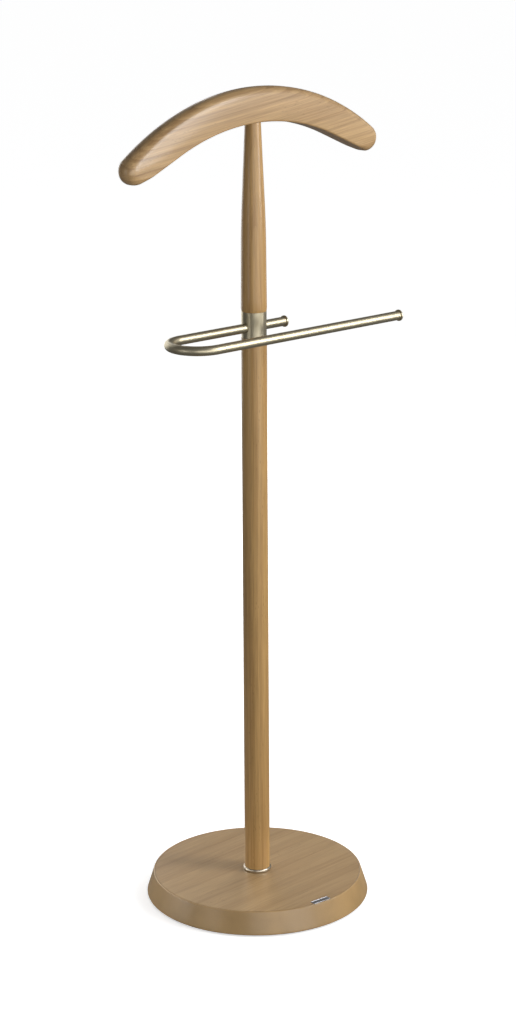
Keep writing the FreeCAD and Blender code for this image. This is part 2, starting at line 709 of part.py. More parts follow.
def make_hanger():
    """The curved board with broad rounds along its top, and the dowel that joins it to the post."""
    body = doc.addObject("PartDesign::Body", "hanger_blank")
    outline = new_sketch(body, "outline", "XZ_Plane")
    draw_hanger_outline(outline)
    pad(body, outline, "Sizes.hanger_thickness", midplane=True)

    rounded = doc.addObject("Part::Fillet", "hanger_rounded")
    rounded.Base = body
    half = value("Sizes.hanger_thickness / 2")
    shoulder = min(value("Sizes.hanger_shoulder_round"), half - value("Sizes.hanger_crown_flat"))
    under = value("Sizes.hanger_under_round")
    tip = value("Sizes.hanger_tip_round")
    top_arc = value("Sizes.hanger_top_arc")
    rounds = []
    for index, edge in enumerate(body.Shape.Edges, start=1):
        if any(abs(abs(vertex.Y) - half) > 1e-6 for vertex in edge.Vertexes):
            continue
        ends = (under, under)
        if edge.Curve.TypeId == "Part::GeomCircle" and abs(edge.Curve.Radius - top_arc) < 1e-6:
            ends = (shoulder, shoulder)
        elif edge.Curve.TypeId == "Part::GeomCircle" and abs(edge.Curve.Radius - tip) < 1e-6:
            first, last = edge.Vertexes[0], edge.Vertexes[-1]
            ends = (shoulder, under) if first.Z > last.Z else (under, shoulder)
        rounds.append((index, *ends))
    rounded.Edges = rounds

    seat = make_cutter("seat", "Sizes.shaft_top_width / 2 + Sizes.fit_gap", "Sizes.hanger_seat")
    hole = make_cutter("dowel_hole", f"{DOWEL_RADIUS} + Sizes.fit_gap", f"Sizes.hanger_seat + {DOWEL_HOLE}")
    socket = doc.addObject("Part::Fuse", "hanger_socket")
    socket.Base = seat
    socket.Tool = hole
    hanger = doc.addObject("Part::Cut", "hanger_cut")
    hanger.Base = rounded
    hanger.Tool = socket
    place(hanger, height=HANGER_UNDER)
    register(hanger, "hanger")
    doc.recompute()

    half_dowel = "Sizes.dowel_length / 2"
    chamfer = "Sizes.dowel_chamfer"
    turned("hanger_dowel", [
        ("0", f"-{half_dowel}"),
        (f"{DOWEL_RADIUS} - {chamfer}", f"-{half_dowel}"),
        (DOWEL_RADIUS, f"{chamfer} - {half_dowel}"),
        (DOWEL_RADIUS, f"{half_dowel} - {chamfer}"),
        (f"{DOWEL_RADIUS} - {chamfer}", half_dowel),
        ("0", half_dowel),
    ], height=SHAFT_TOP)


def check_and_write():
    """Stop on any failed object or bad shape, and then write each piece to its own file."""
    doc.recompute()
    for item in doc.Objects:
        if "Invalid" in item.State or "Error" in item.State:
            raise RuntimeError(f"{item.Name} failed: {item.State}")
    for piece in pieces:
        if piece.Shape.isNull() or not piece.Shape.isValid() or not piece.Shape.Solids:
            raise RuntimeError(f"{piece.Label} has no valid solid")
    os.makedirs("parts", exist_ok=True)
    for piece in pieces:
        piece.Shape.exportStep(f"parts/{piece.Label}.step")
        box = piece.Shape.BoundBox
        print(f"{piece.Label:24s} solids {len(piece.Shape.Solids)} volume {piece.Shape.Volume:12.1f} "
              f"z {box.ZMin:8.2f} to {box.ZMax:8.2f}")


fill_sheet()
make_base()
make_ballast()
make_pads()
make_base_bolt()
make_lower_post()
make_sleeve()
make_rail()
make_upper_post()
make_hanger()
check_and_write()
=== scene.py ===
"""Valet stand: finished pieces, materials and stage around the stand's fixed frame.

Metres, +Z up, origin on the floor under the post. Laid out as an add-on: each piece or group of like
pieces has its own operator, and the sizes and colours that a user would change are properties.
"""
import math

import bmesh
import bpy
from bpy.props import FloatProperty, FloatVectorProperty, IntProperty, PointerProperty
from mathutils import Matrix, Vector


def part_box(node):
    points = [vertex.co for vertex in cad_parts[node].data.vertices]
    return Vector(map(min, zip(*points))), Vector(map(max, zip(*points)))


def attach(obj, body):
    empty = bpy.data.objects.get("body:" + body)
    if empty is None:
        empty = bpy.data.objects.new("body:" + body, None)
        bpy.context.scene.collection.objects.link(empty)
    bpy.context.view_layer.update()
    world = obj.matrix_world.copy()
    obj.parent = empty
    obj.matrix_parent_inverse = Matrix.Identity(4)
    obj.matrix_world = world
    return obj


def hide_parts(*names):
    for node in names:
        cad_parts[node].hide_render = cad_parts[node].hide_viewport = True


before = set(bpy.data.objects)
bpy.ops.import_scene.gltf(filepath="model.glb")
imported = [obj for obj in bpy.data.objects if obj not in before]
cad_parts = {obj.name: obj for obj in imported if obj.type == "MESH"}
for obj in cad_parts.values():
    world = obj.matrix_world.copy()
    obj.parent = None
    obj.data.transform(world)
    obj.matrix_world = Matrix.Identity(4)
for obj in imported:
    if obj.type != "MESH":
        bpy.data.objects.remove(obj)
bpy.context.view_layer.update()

bl_info = {
    "name": "Valet Stand",
    "version": (1, 0, 0),
    "blender": (4, 5, 0),
    "location": "View3D > Sidebar > Valet Stand",
    "description": "Builds the finished pieces of a valet stand around its frame",
    "category": "Object",
}

# Faces round a turned piece, round the wide base, along the rail's bend and round its tube, and the
# angle past which an edge stays crisp.
ROUND_STEPS = 128
BASE_STEPS = 192
BEND_STEPS = 28
TUBE_STEPS = 48
FINE_ANGLE = math.radians(32)

# Play between two pieces that fit into each other.
CLEARANCE = 0.00005

# How deep the upper post sits in the hanger, and the points along the hanger's outline.
HANGER_SEAT = 0.001
HANGER_LONG = 60
HANGER_TIP = 24
HANGER_LINE = 20
EDGE_STEPS = 8

# Colours of the pieces that a user wouldn't change.
ZINC = (0.60, 0.60, 0.57)
BRASS = (0.62, 0.44, 0.18)
CAST_ZINC = (0.46, 0.46, 0.47)
BLACK_STEEL = (0.12, 0.12, 0.12)
BLACK_COAT = (0.028, 0.028, 0.030)
SATIN_STEEL = (0.52, 0.52, 0.54)

# The lights, each as name, degrees to the camera's right, degrees up, distance, width, height, power.
# All face the post's axis at one height.
SOFTBOX_AIM = 0.60
SOFTBOXES = (
    ("key_softbox", 76, 21, 2.4, 0.9, 1.7, 40.0),
    ("key_strip", 46, 3, 2.3, 1.0, 1.5, 10.0),
    ("front_softbox", 16, 5, 2.4, 2.0, 1.2, 15.5),
    ("side_softbox", 97, 30, 2.2, 1.8, 2.0, 5.0),
    ("rim_softbox", 130, 10, 2.4, 0.8, 1.4, 2.0),
    ("left_softbox", -46, 5, 2.2, 0.6, 1.2, 4.8),
    ("back_softbox_right", 152, 14, 2.5, 1.8, 2.0, 38.0),
    ("back_softbox_left", -148, 12, 2.5, 2.2, 2.2, 27.0),
)
# This light is left out of reflections, so that the metal's edges stay dark.
MATT_SOFTBOX = "back_softbox_right"

FLOOR_RADIUS = 40.0

# A small card beside the base that lifts the shade on its side.
BOUNCE_POWER = 0.27
BOUNCE_SIZE = (0.6, 0.2)
BOUNCE_SPREAD = math.radians(60)
BOUNCE_PLACE = (-0.82, 0.02, 0.20)
BOUNCE_TARGET = (-0.10, 0.03, 0.0)


def corners(node):
    """The lowest and highest corners of a frame node at rest."""
    low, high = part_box(node)
    return Vector(low), Vector(high)


def radius_of(node):
    """The radius of a node that is turned about the post's axis."""
    low, high = corners(node)
    return (high.x - low.x) / 2


# ---------------------------------------------------------------- properties


def length_property(name, description, default):
    """A length in metres, shown with its unit."""
    return FloatProperty(name=name, description=description, default=default, unit="LENGTH", precision=4)


def colour_property(name, description, default):
    """A linear colour, shown as a swatch."""
    return FloatVectorProperty(name=name, description=description, default=default, subtype="COLOR",
                               size=3, min=0.0, max=1.0)


class ValetHangerSizes(bpy.types.PropertyGroup):
    """The hanger's outline and its rounded edges."""
    top_arc: length_property("Top arc", "Radius of the long arc along the top", 0.379)
    under_arc: length_property("Under arc", "Radius of the long arc underneath", 0.350)
    tip_round: length_property("Tip", "Radius of each round tip", 0.018)
    shoulder_round: length_property("Shoulder round", "Radius that softens the top edges", 0.012)
    under_round: length_property("Under round", "Radius that softens the lower edges", 0.0026)
    fade_before: length_property("Fade before", "How far before a tip's end its edge tightens", 0.016)
    fade_after: length_property("Fade after", "How far past a tip's end its edge is tight", 0.022)


class ValetPostSizes(bpy.types.PropertyGroup):
    """The turned shapes of the two posts."""
    swell: length_property("Swell", "How far the upper post stands out above the sleeve", 0.0005)
    foot_height: length_property("Foot height", "Height of the upper post's chamfered foot", 0.004)
    break_height: length_property("Break height", "Height above the sleeve where the taper begins", 0.116)
    break_inset: length_property("Break inset", "How much the post has narrowed there", 0.00085)
    break_reach: length_property("Break reach", "Half the length over which the taper begins", 0.030)
    chamfer: length_property("Chamfer", "Chamfer on the lower post's upper end", 0.0004)
    top: length_property("Top", "Radius of the upper post's top", 0.0105)


class ValetRailSizes(bpy.types.PropertyGroup):
    """The trouser rail's route, its tube and its end caps."""
    turn: FloatProperty(name="Turn", description="How far the rail points away from the hanger",
                        default=math.radians(-4.2), subtype="ANGLE")
    gap: length_property("Gap", "Distance between the two legs", 0.075)
    bend: length_property("Bend", "Distance from the post to the middle of the bend", 0.126)
    stub: length_property("Stub", "How far the short leg passes the post", 0.052)
    reach: length_property("Reach", "How far the long leg passes the post", 0.190)
    tube: length_property("Tube", "Radius of the tube", 0.00625)
    wall: length_property("Wall", "Thickness of the tube's wall", 0.0012)
    cap_lip: length_property("Cap lip", "How far each cap stands out round the tube", 0.00145)
    cap_thickness: length_property("Cap thickness", "Thickness of each cap's head", 0.0026)


class ValetBaseSizes(bpy.types.PropertyGroup):
    """The round base: its rim, its recess and what is fixed under it."""
    flare: length_property("Flare", "How much wider the board is at its foot", 0.009)
    foot: length_property("Foot", "Radius of the base's foot", 0.1505)
    rim_round: length_property("Rim round", "Radius of the rim's bead", 0.0011)
    edge_round: length_property("Edge round", "Radius of the lower edge", 0.0012)
    recess: length_property("Recess", "Depth of the recess for the ballast", 0.010)
    seat: length_property("Seat", "How deep the post sits in the board", 0.006)
    pad: length_property("Pad", "Radius of each felt pad", 0.012)
    pad_inset: length_property("Pad inset", "Distance from the edge to each pad's centre", 0.0205)
    screw_inset: length_property("Screw inset", "Distance from the ballast's edge to its screws", 0.020)
    pads: IntProperty(name="Pads", description="Number of felt pads", default=6, min=3)
    screws: IntProperty(name="Screws", description="Number of ballast screws", default=4, min=2)


class ValetBadgeSizes(bpy.types.PropertyGroup):
    """The blank plate on the base."""
    length: length_property("Length", "Length of the plate", 0.028)
    height: length_property("Height", "Height of the plate", 0.0084)
    turn: FloatProperty(name="Turn", description="How far round the base the plate sits",
                        default=math.radians(-7.0), subtype="ANGLE")


class ValetColours(bpy.types.PropertyGroup):
    """The colours of the stand's finishes."""
    hanger_light: colour_property("Hanger light", "Pale wood of the hanger", (0.500, 0.322, 0.150))
    hanger_dark: colour_property("Hanger dark", "Darker bands of the hanger", (0.320, 0.188, 0.080))
    post_light: colour_property("Post light", "Pale wood of the posts", (0.490, 0.293, 0.106))
    post_dark: colour_property("Post dark", "Darker bands of the posts", (0.343, 0.181, 0.055))
    veneer_light: colour_property("Veneer light", "Pale wood of the veneer", (0.440, 0.290, 0.140))
    veneer_dark: colour_property("Veneer dark", "Darker bands of the veneer", (0.316, 0.192, 0.085))
    lacquer: colour_property("Lacquer", "Coloured lacquer of the board's side", (0.410, 0.258, 0.108))
    champagne: colour_property("Champagne nickel", "Satin metal of sleeve and rail", (0.520, 0.465, 0.335))
    bright_nickel: colour_property("Bright nickel", "Metal of the foot ring", (0.560, 0.505, 0.410))
    felt: colour_property("Felt", "Felt of the pads", (0.090, 0.072, 0.055))


class ValetStage(bpy.types.PropertyGroup):
    """The camera, the lights and the floor."""
    camera_place: FloatVectorProperty(name="Camera", description="Where the camera stands", size=3,
                                      default=(-2.3601, -2.3478, 1.4821), subtype="TRANSLATION")
    azimuth: FloatProperty(name="Azimuth", description="Direction of view round the stand",
                           default=math.radians(-45.25), subtype="ANGLE")
    elevation: FloatProperty(name="Elevation", description="How far the camera looks down",
                             default=math.radians(10.27), subtype="ANGLE")
    roll: FloatProperty(name="Roll", description="Slight tilt of the camera",
                        default=math.radians(-0.34), subtype="ANGLE")
    lens: FloatProperty(name="Lens", description="Focal length in millimetres", default=91.12, min=10.0)
    rise: FloatProperty(name="Rise", description="Vertical shift of the lens", default=-0.25)
    power: FloatProperty(name="Light power", description="Power of all the lights together", default=1.0)
    sky: FloatProperty(name="Surroundings", description="Brightness of the room", default=0.13)
    floor: colour_property("Floor", "Colour of the floor", (0.86, 0.86, 0.86))
    floor_glow: FloatProperty(name="Floor glow", description="Even brightness of the floor", default=0.52)


# ---------------------------------------------------------------- node helpers


class Shader:
    """A material's node tree, built one node at a time around one principled shader."""

    def __init__(self, name):
        self.material = bpy.data.materials.new(name)
        self.material.use_nodes = True
        self.tree = self.material.node_tree
        self.tree.nodes.clear()
        self.output = self.tree.nodes.new("ShaderNodeOutputMaterial")
        self.surface = self.tree.nodes.new("ShaderNodeBsdfPrincipled")
        self.link(self.surface.outputs["BSDF"], self.output.inputs["Surface"])

    def node(self, kind, **settings):
        """Add a node and set its attributes."""
        node = self.tree.nodes.new(kind)
        for name, setting in settings.items():
            setattr(node, name, setting)
        return node

    def link(self, source, target):
        """Join an output to an input."""
        self.tree.links.new(source, target)

    def feed(self, target, source):
        """Give an input a link or a plain value."""
        if isinstance(source, bpy.types.NodeSocket):
            self.link(source, target)
        else:
            target.default_value = source

    def give(self, name, source):
        """Give the principled shader's named input a link, a number or a colour."""
        target = self.surface.inputs[name]
        self.feed(target, (*source, 1.0) if isinstance(source, tuple) else source)

    def place(self, stretch=(1, 1, 1), origin=(0, 0, 0), turn=(0, 0, 0)):
        """Object coordinates of a pattern set at an origin, turned, and then stretched."""
        coordinates = self.node("ShaderNodeTexCoord")
        mapping = self.node("ShaderNodeMapping", vector_type="TEXTURE")
        mapping.inputs["Location"].default_value = origin
        mapping.inputs["Rotation"].default_value = turn
        mapping.inputs["Scale"].default_value = stretch
        self.link(coordinates.outputs["Object"], mapping.inputs["Vector"])
        return mapping.outputs["Vector"]

    def noise(self, vector, scale, detail=4.0, roughness=0.55, distortion=0.0):
        """Grey noise."""
        noise = self.node("ShaderNodeTexNoise")
        self.link(vector, noise.inputs["Vector"])
        noise.inputs["Scale"].default_value = scale
        noise.inputs["Detail"].default_value = detail
        noise.inputs["Roughness"].default_value = roughness
        noise.inputs["Distortion"].default_value = distortion
        return noise.outputs["Fac"]

    def math(self, operation, first, second=0.0, clamp=False):
        """One arithmetic step."""
        node = self.node("ShaderNodeMath", operation=operation, use_clamp=clamp)
        self.feed(node.inputs[0], first)
        self.feed(node.inputs[1], second)
        return node.outputs[0]

    def remap(self, source, low, high, new_low=0.0, new_high=1.0, smooth=False):
        """Stretch a range onto another, with its ends held."""
        node = self.node("ShaderNodeMapRange", clamp=True)
        node.interpolation_type = "SMOOTHSTEP" if smooth else "LINEAR"
        self.feed(node.inputs["Value"], source)
        node.inputs["From Min"].default_value = low
        node.inputs["From Max"].default_value = high
        node.inputs["To Min"].default_value = new_low
        node.inputs["To Max"].default_value = new_high
        return node.outputs["Result"]

    def mix(self, amount, first, second, blend="MIX"):
        """Mix two colours."""
        node = self.node("ShaderNodeMix", data_type="RGBA", blend_type=blend)
        self.feed(node.inputs["Factor"], amount)
        colour_inputs = [socket for socket in node.inputs if socket.type == "RGBA"]
        for socket, colour in zip(colour_inputs, (first, second)):
            self.feed(socket, colour if isinstance(colour, bpy.types.NodeSocket) else (*colour, 1.0))
        return next(socket for socket in node.outputs if socket.type == "RGBA")

    def bump(self, height, distance, strength=1.0):
        """Feed a height into the shader's normal."""
        node = self.node("ShaderNodeBump")
        node.inputs["Strength"].default_value = strength
        node.inputs["Distance"].default_value = distance
        self.link(height, node.inputs["Height"])
        self.link(node.outputs["Normal"], self.surface.inputs["Normal"])


    def shade(self, colour, brightness):
        """Multiply a colour by a brightness."""
        grey = self.node("ShaderNodeCombineColor")
        for channel in ("Red", "Green", "Blue"):
            self.link(brightness, grey.inputs[channel])
        return self.mix(1.0, colour, grey.outputs["Color"], blend="MULTIPLY")


def scaled(colour, factor):
    """A colour made darker or paler."""
    return tuple(min(1.0, channel * factor) for channel in colour)


def colours():
    """The scene's colour properties."""
    return bpy.context.scene.valet_colours


# ---------------------------------------------------------------- woods
#
# Pattern scales are in cells per metre and bump distances in metres.

# A wave texture of scale 1 repeats after this length.
WAVE_LENGTH = math.pi / 10


def beech(name, light, dark, along, heart, ring_gap, contrast=1.0, coat=0.35, roughness=0.42, tilt=0.0,
          distortion=4.0, gloss=0.16, streaks=1.0):
    """Lacquered beech: growth rings about a heart line, fibres, ray flecks and slow colour drift.

    along is the axis index of the grain, heart the place of the tree's centre, ring_gap the distance
    between growth rings, tilt how far the grain leans from its axis, and streaks how strong the fine
    lines along the grain are.
    """
    shader = Shader(name)
    turn = (0.0, tilt, 0.0)

    def stretched(length):
        """Coordinates whose pattern is drawn out along the grain."""
        stretch = [1.0, 1.0, 1.0]
        stretch[along] = length
        return shader.place(tuple(stretch), heart, turn)

    solid = stretched(10.0)

    wander = shader.noise(solid, 9.0, detail=3.0, roughness=0.5)
    rings = shader.node("ShaderNodeTexWave", wave_type="RINGS", wave_profile="SAW")
    rings.rings_direction = "XYZ"[along]
    shader.link(solid, rings.inputs["Vector"])
    rings.inputs["Scale"].default_value = WAVE_LENGTH / ring_gap
    rings.inputs["Distortion"].default_value = distortion
    rings.inputs["Detail"].default_value = 2.0
    rings.inputs["Detail Scale"].default_value = 0.35
    rings.inputs["Detail Roughness"].default_value = 0.55
    growth = shader.math("POWER", rings.outputs["Fac"], 1.8)
    band = shader.remap(wander, 0.34, 0.68, smooth=True)

    fibres_at = stretched(45.0)
    fibres = shader.noise(fibres_at, 950.0, detail=5.0, roughness=0.62)
    strands = shader.noise(fibres_at, 170.0, detail=3.0, roughness=0.6)

    flecks_at = stretched(5.0)
    cells = shader.node("ShaderNodeTexVoronoi", feature="F1")
    shader.link(flecks_at, cells.inputs["Vector"])
    cells.inputs["Scale"].default_value = 420.0
    cells.inputs["Randomness"].default_value = 1.0
    fleck = shader.remap(cells.outputs["Distance"], 0.10, 0.24, 1.0, 0.0)
    sparse = shader.remap(shader.noise(flecks_at, 60.0, detail=2.0), 0.50, 0.62)
    fleck = shader.math("MULTIPLY", fleck, sparse)

    amount = shader.math("MULTIPLY", growth, 0.42 * contrast)
    amount = shader.math("ADD", amount, shader.math("MULTIPLY", band, 0.40 * contrast))
    lines = shader.remap(strands, 0.40, 0.64, -0.24 * streaks, 0.38 * streaks)
    amount = shader.math("ADD", amount, lines, clamp=True)
    colour = shader.mix(amount, light, dark)
    fibre_shade = shader.remap(fibres, 0.34, 0.66, 0.84, 1.11)
    colour = shader.shade(colour, fibre_shade)
    fleck_colour = scaled(dark, 0.55)
    colour = shader.mix(shader.math("MULTIPLY", fleck, 0.45), colour, fleck_colour)
    shader.give("Base Color", colour)

    sheen = shader.remap(fibres, 0.3, 0.7, roughness - 0.05, roughness + 0.06)
    shader.give("Roughness", sheen)
    shader.give("Coat Weight", coat)
    shader.give("Coat Roughness", gloss)
    shader.give("Coat IOR", 1.45)
    shader.give("IOR", 1.48)
    height = shader.math("ADD", shader.math("MULTIPLY", fibres, 0.6), shader.math("MULTIPLY", strands, 0.4))
    height = shader.math("SUBTRACT", height, shader.math("MULTIPLY", fleck, 0.5))
    shader.bump(height, 0.00012, 0.35)
    return shader.material


def raw_beech(name):
    """Unfinished beech of the hidden dowel."""
    return beech(name, (0.66, 0.50, 0.33), (0.52, 0.36, 0.21), 2, (0.01, 0.02, 0.0), 0.002, coat=0.0,
                 roughness=0.62)


def coloured_lacquer(name, colour):
    """Sprayed lacquer on the board: even colour with faint orange peel, slow cloudiness and a painted shade
    line round the veneer's edge.
    """
    shader = Shader(name)
    at = shader.place()
    cloud = shader.noise(at, 14.0, detail=3.0)
    fine = shader.noise(at, 900.0, detail=2.0)
    paler = scaled(colour, 1.10)
    deeper = scaled(colour, 0.90)
    tone = shader.mix(shader.remap(cloud, 0.35, 0.65, smooth=True), deeper, paler)
    speck = shader.remap(fine, 0.35, 0.75, 0.97, 1.03)
    tone = shader.shade(tone, speck)

    separate = shader.node("ShaderNodeSeparateXYZ")
    shader.link(at, separate.inputs["Vector"])
    across = shader.math("POWER", separate.outputs["X"], 2.0)
    deep = shader.math("POWER", separate.outputs["Y"], 2.0)
    distance = shader.math("SQRT", shader.math("ADD", across, deep))
    # Painted shade: the lacquer is darkened from about a millimetre outside the veneer's edge inwards. This
    # stands in for the shade in the narrow gap between the veneer and the rim.
    from_veneer = shader.math("SUBTRACT", distance, radius_of("base_veneer"))
    line = shader.remap(from_veneer, 0.0002, 0.0010, 1.0, 0.0)
    tone = shader.mix(shader.math("MULTIPLY", line, 0.75), tone, scaled(colour, 0.38))
    rubbed = shader.remap(separate.outputs["Z"], 0.0020, 0.0042, 1.0, 0.0)
    scuff = shader.remap(shader.noise(at, 120.0, detail=4.0), 0.52, 0.62)
    wear = shader.math("MULTIPLY", rubbed, scuff)
    tone = shader.mix(shader.math("MULTIPLY", wear, 0.5), tone, scaled(colour, 0.55))
    shader.give("Base Color", tone)
    shader.give("Roughness", shader.remap(cloud, 0.3, 0.7, 0.36, 0.44))
    shader.give("Coat Weight", 0.35)
    shader.give("Coat Roughness", 0.24)
    peel = shader.noise(at, 260.0, detail=2.0, roughness=0.4)
    shader.bump(peel, 0.00025, 0.10)
    return shader.material


# ---------------------------------------------------------------- metals and small materials


def metal(name, colour, roughness, brush=(1.0, 1.0, 1.0)):
    """Plated metal with fine brushing, slow tarnish and small scratches."""
    shader = Shader(name)
    plain = shader.place()
    lines = shader.noise(shader.place(brush), 1400.0, detail=3.0, roughness=0.6)
    haze = shader.noise(plain, 35.0, detail=4.0, roughness=0.6)
    handling = shader.noise(plain, 210.0, detail=5.0, roughness=0.65)
    warm = tuple(channel * factor for channel, factor in zip(colour, (0.93, 0.89, 0.80)))
    tone = shader.mix(shader.remap(haze, 0.38, 0.66, 0.0, 0.55, smooth=True), colour, warm)
    streak = shader.remap(lines, 0.3, 0.7, 0.94, 1.04)
    tone = shader.shade(tone, streak)
    shader.give("Base Color", tone)
    shader.give("Metallic", 1.0)
    rough = shader.math("ADD", shader.remap(lines, 0.3, 0.7, roughness - 0.015, roughness + 0.02),
                        shader.remap(handling, 0.50, 0.75, 0.0, 0.02, smooth=True))
    shader.give("Roughness", rough)
    shader.bump(lines, 0.00001, 0.06)
    return shader.material


def grained_metal(name, colour, scale, detail, rough, relief, strength, stretch=(1.0, 1.0, 1.0)):
    """Metal whose fine grain shows in its colour, its gloss and its relief.

    rough is the range of the roughness, relief the depth of the grain in metres, and stretch how far
    the grain is drawn out along each axis.
    """
    shader = Shader(name)
    grain = shader.noise(shader.place(stretch), scale, detail=detail)
    shader.give("Base Color", shader.mix(shader.remap(grain, 0.3, 0.7), scaled(colour, 0.8), colour))
    shader.give("Metallic", 1.0)
    shader.give("Roughness", shader.remap(grain, 0.3, 0.7, *rough))
    shader.bump(grain, relief, strength)
    return shader.material


def knurled(name, colour):
    """Cast or knurled metal of the hidden inserts and the core."""
    return grained_metal(name, colour, 700.0, 4.0, (0.34, 0.52), 0.0001, 0.4)


def brushed_plate(name, colour):
    """Satin plate with fine straight brushing along its length."""
    return grained_metal(name, colour, 2600.0, 3.0, (0.30, 0.42), 0.00002, 0.3, (33.0, 1.0, 1.0))


def powder_coat(name, colour):
    """Matt black powder coat on the ballast plate, with rubbed spots."""
    shader = Shader(name)
    at = shader.place()
    grains = shader.noise(at, 1100.0, detail=3.0)
    rub = shader.remap(shader.noise(at, 60.0, detail=5.0, roughness=0.7), 0.60, 0.72)
    tone = shader.mix(rub, colour, scaled(colour, 2.6))
    shader.give("Base Color", tone)
    shader.give("Roughness", shader.remap(grains, 0.3, 0.7, 0.55, 0.72))
    shader.bump(grains, 0.00015, 0.5)
    return shader.material


def nylon(name):
    """Milky nylon of the friction washers."""
    shader = Shader(name)
    at = shader.place()
    haze = shader.noise(at, 300.0, detail=3.0)
    shader.give("Base Color", shader.mix(haze, (0.62, 0.60, 0.54), (0.74, 0.72, 0.67)))
    shader.give("Roughness", shader.remap(haze, 0.3, 0.7, 0.40, 0.50))
    shader.bump(haze, 0.00005, 0.3)
    return shader.material


def felt(name, colour):
    """Pressed felt: matted fibres with paler and darker wool."""
    shader = Shader(name)
    at = shader.place((1.0, 1.0, 0.4))
    wool = shader.noise(at, 900.0, detail=6.0, roughness=0.75, distortion=1.2)
    clumps = shader.noise(at, 160.0, detail=3.0)
    tone = shader.mix(shader.remap(wool, 0.32, 0.68), scaled(colour, 0.55),
                      scaled(colour, 1.9))
    tone = shader.mix(shader.remap(clumps, 0.4, 0.7, 0.0, 0.4), tone, colour)
    shader.give("Base Color", tone)
    shader.give("Roughness", 0.95)
    shader.give("Sheen Weight", 0.35)
    shader.give("Sheen Roughness", 0.5)
    shader.bump(wool, 0.0006, 0.8)
    return shader.material


def floor_paint(name, colour, glow):
    """Pale floor with the faintest mottling."""
    shader = Shader(name)
    at = shader.place()
    cloud = shader.noise(at, 1.5, detail=3.0)
    near = scaled(colour, 1.01)
    far = scaled(colour, 0.99)
    shader.give("Base Color", shader.mix(cloud, far, near))
    shader.give("Roughness", shader.remap(cloud, 0.3, 0.7, 0.58, 0.66))
    shader.give("Specular IOR Level", 0.0)
    shader.give("Emission Color", (1.0, 1.0, 1.0))
    from_middle = shader.node("ShaderNodeVectorMath", operation="LENGTH")
    shader.link(at, from_middle.inputs[0])
    glow_there = shader.remap(from_middle.outputs["Value"], 0.25, 2.2, glow, 0.88)
    shader.give("Emission Strength", glow_there)
    return shader.material


# ---------------------------------------------------------------- mesh helpers


def new_object(name, mesh, material):
    """Link a mesh as an object at the origin with one material."""
    mesh.materials.clear()
    mesh.materials.append(material)
    piece = bpy.data.objects.new(name, mesh)
    bpy.context.scene.collection.objects.link(piece)
    return piece


def shade_crisply(mesh, sharp=FINE_ANGLE):
    """Shade a mesh smoothly up to its real corners."""
    for polygon in mesh.polygons:
        polygon.use_smooth = True
    mesh.set_sharp_from_angle(angle=sharp)


def finish_mesh(bm, name, sharp=FINE_ANGLE):
    """Turn a bmesh into a smooth-shaded mesh whose real corners stay crisp."""
    bmesh.ops.remove_doubles(bm, verts=bm.verts, dist=1e-7)
    bmesh.ops.recalc_face_normals(bm, faces=bm.faces)
    mesh = bpy.data.meshes.new(name)
    bm.to_mesh(mesh)
    bm.free()
    shade_crisply(mesh, sharp)
    return mesh


def arc_points(centre, radius, start, end, steps):
    """Points of an arc in (radius, height), angles in degrees from the outward direction."""
    points = []
    for step in range(steps + 1):
        angle = math.radians(start + (end - start) * step / steps)
        points.append((centre[0] + radius * math.cos(angle), centre[1] + radius * math.sin(angle)))
    return points


def lathe(profile, steps=ROUND_STEPS, closed=True):
    """A bmesh turned about the Z axis from (radius, height) points; the axis is closed with fans."""
    bm = bmesh.new()
    rings = []
    for radius, height in profile:
        if radius < 1e-9:
            rings.append([bm.verts.new((0.0, 0.0, height))])
            continue
        ring = []
        for step in range(steps):
            angle = 2 * math.pi * step / steps
            ring.append(bm.verts.new((radius * math.cos(angle), radius * math.sin(angle), height)))
        rings.append(ring)
    pairs = list(zip(rings, rings[1:]))
    if closed:
        pairs.append((rings[-1], rings[0]))
    for lower, upper in pairs:
        for step in range(steps):
            following = (step + 1) % steps
            if len(lower) == 1 and len(upper) == 1:
                break
            if len(lower) == 1:
                bm.faces.new((lower[0], upper[following], upper[step]))
            elif len(upper) == 1:
                bm.faces.new((lower[step], lower[following], upper[0]))
            else:
                bm.faces.new((lower[step], lower[following], upper[following], upper[step]))
    return bm


def turned_piece(name, profile, material, place=None, steps=ROUND_STEPS, closed=True):
    """A turned object, its place written into its mesh."""
    bm = lathe(profile, steps, closed)
    if place is not None:
        bm.transform(place)
    return new_object(name, finish_mesh(bm, name), material)


def rounded_disc(radius, low, high, edge, steps=4):
    """The (radius, height) profile of a disc whose two outer edges are rounded."""
    return [
        (0.0, low),
        *arc_points((radius - edge, low + edge), edge, -90, 0, steps),
        *arc_points((radius - edge, high - edge), edge, 0, 90, steps),
        (0.0, high),
    ]


def rounded_ring(inner, outer, low, high, edge, steps=4):
    """The (radius, height) profile of a flat ring whose four edges are rounded."""
    return [
        *arc_points((inner + edge, low + edge), edge, 180, 270, steps),
        *arc_points((outer - edge, low + edge), edge, -90, 0, steps),
        *arc_points((outer - edge, high - edge), edge, 0, 90, steps),
        *arc_points((inner + edge, high - edge), edge, 90, 180, steps),
    ]


def evaluated_copy(source, name, material):
    """The evaluated mesh of an object as a plain object; the source is removed."""
    bpy.context.view_layer.update()
    graph = bpy.context.evaluated_depsgraph_get()
    mesh = bpy.data.meshes.new_from_object(source.evaluated_get(graph), depsgraph=graph)
    mesh.name = name
    old = source.data
    bpy.data.objects.remove(source)
    bpy.data.meshes.remove(old)
    return new_object(name, mesh, material)


def cut(piece, cutter):
    """Take one object away from another and leave a plain, crisply shaded mesh."""
    material = piece.data.materials[0]
    name = piece.name
    modifier = piece.modifiers.new("cut", "BOOLEAN")
    modifier.operation = "DIFFERENCE"
    modifier.solver = "EXACT"
    modifier.object = cutter
    result = evaluated_copy(piece, name, material)
    old = cutter.data
    bpy.data.objects.remove(cutter)
    bpy.data.meshes.remove(old)
    shade_crisply(result.data)
    return result


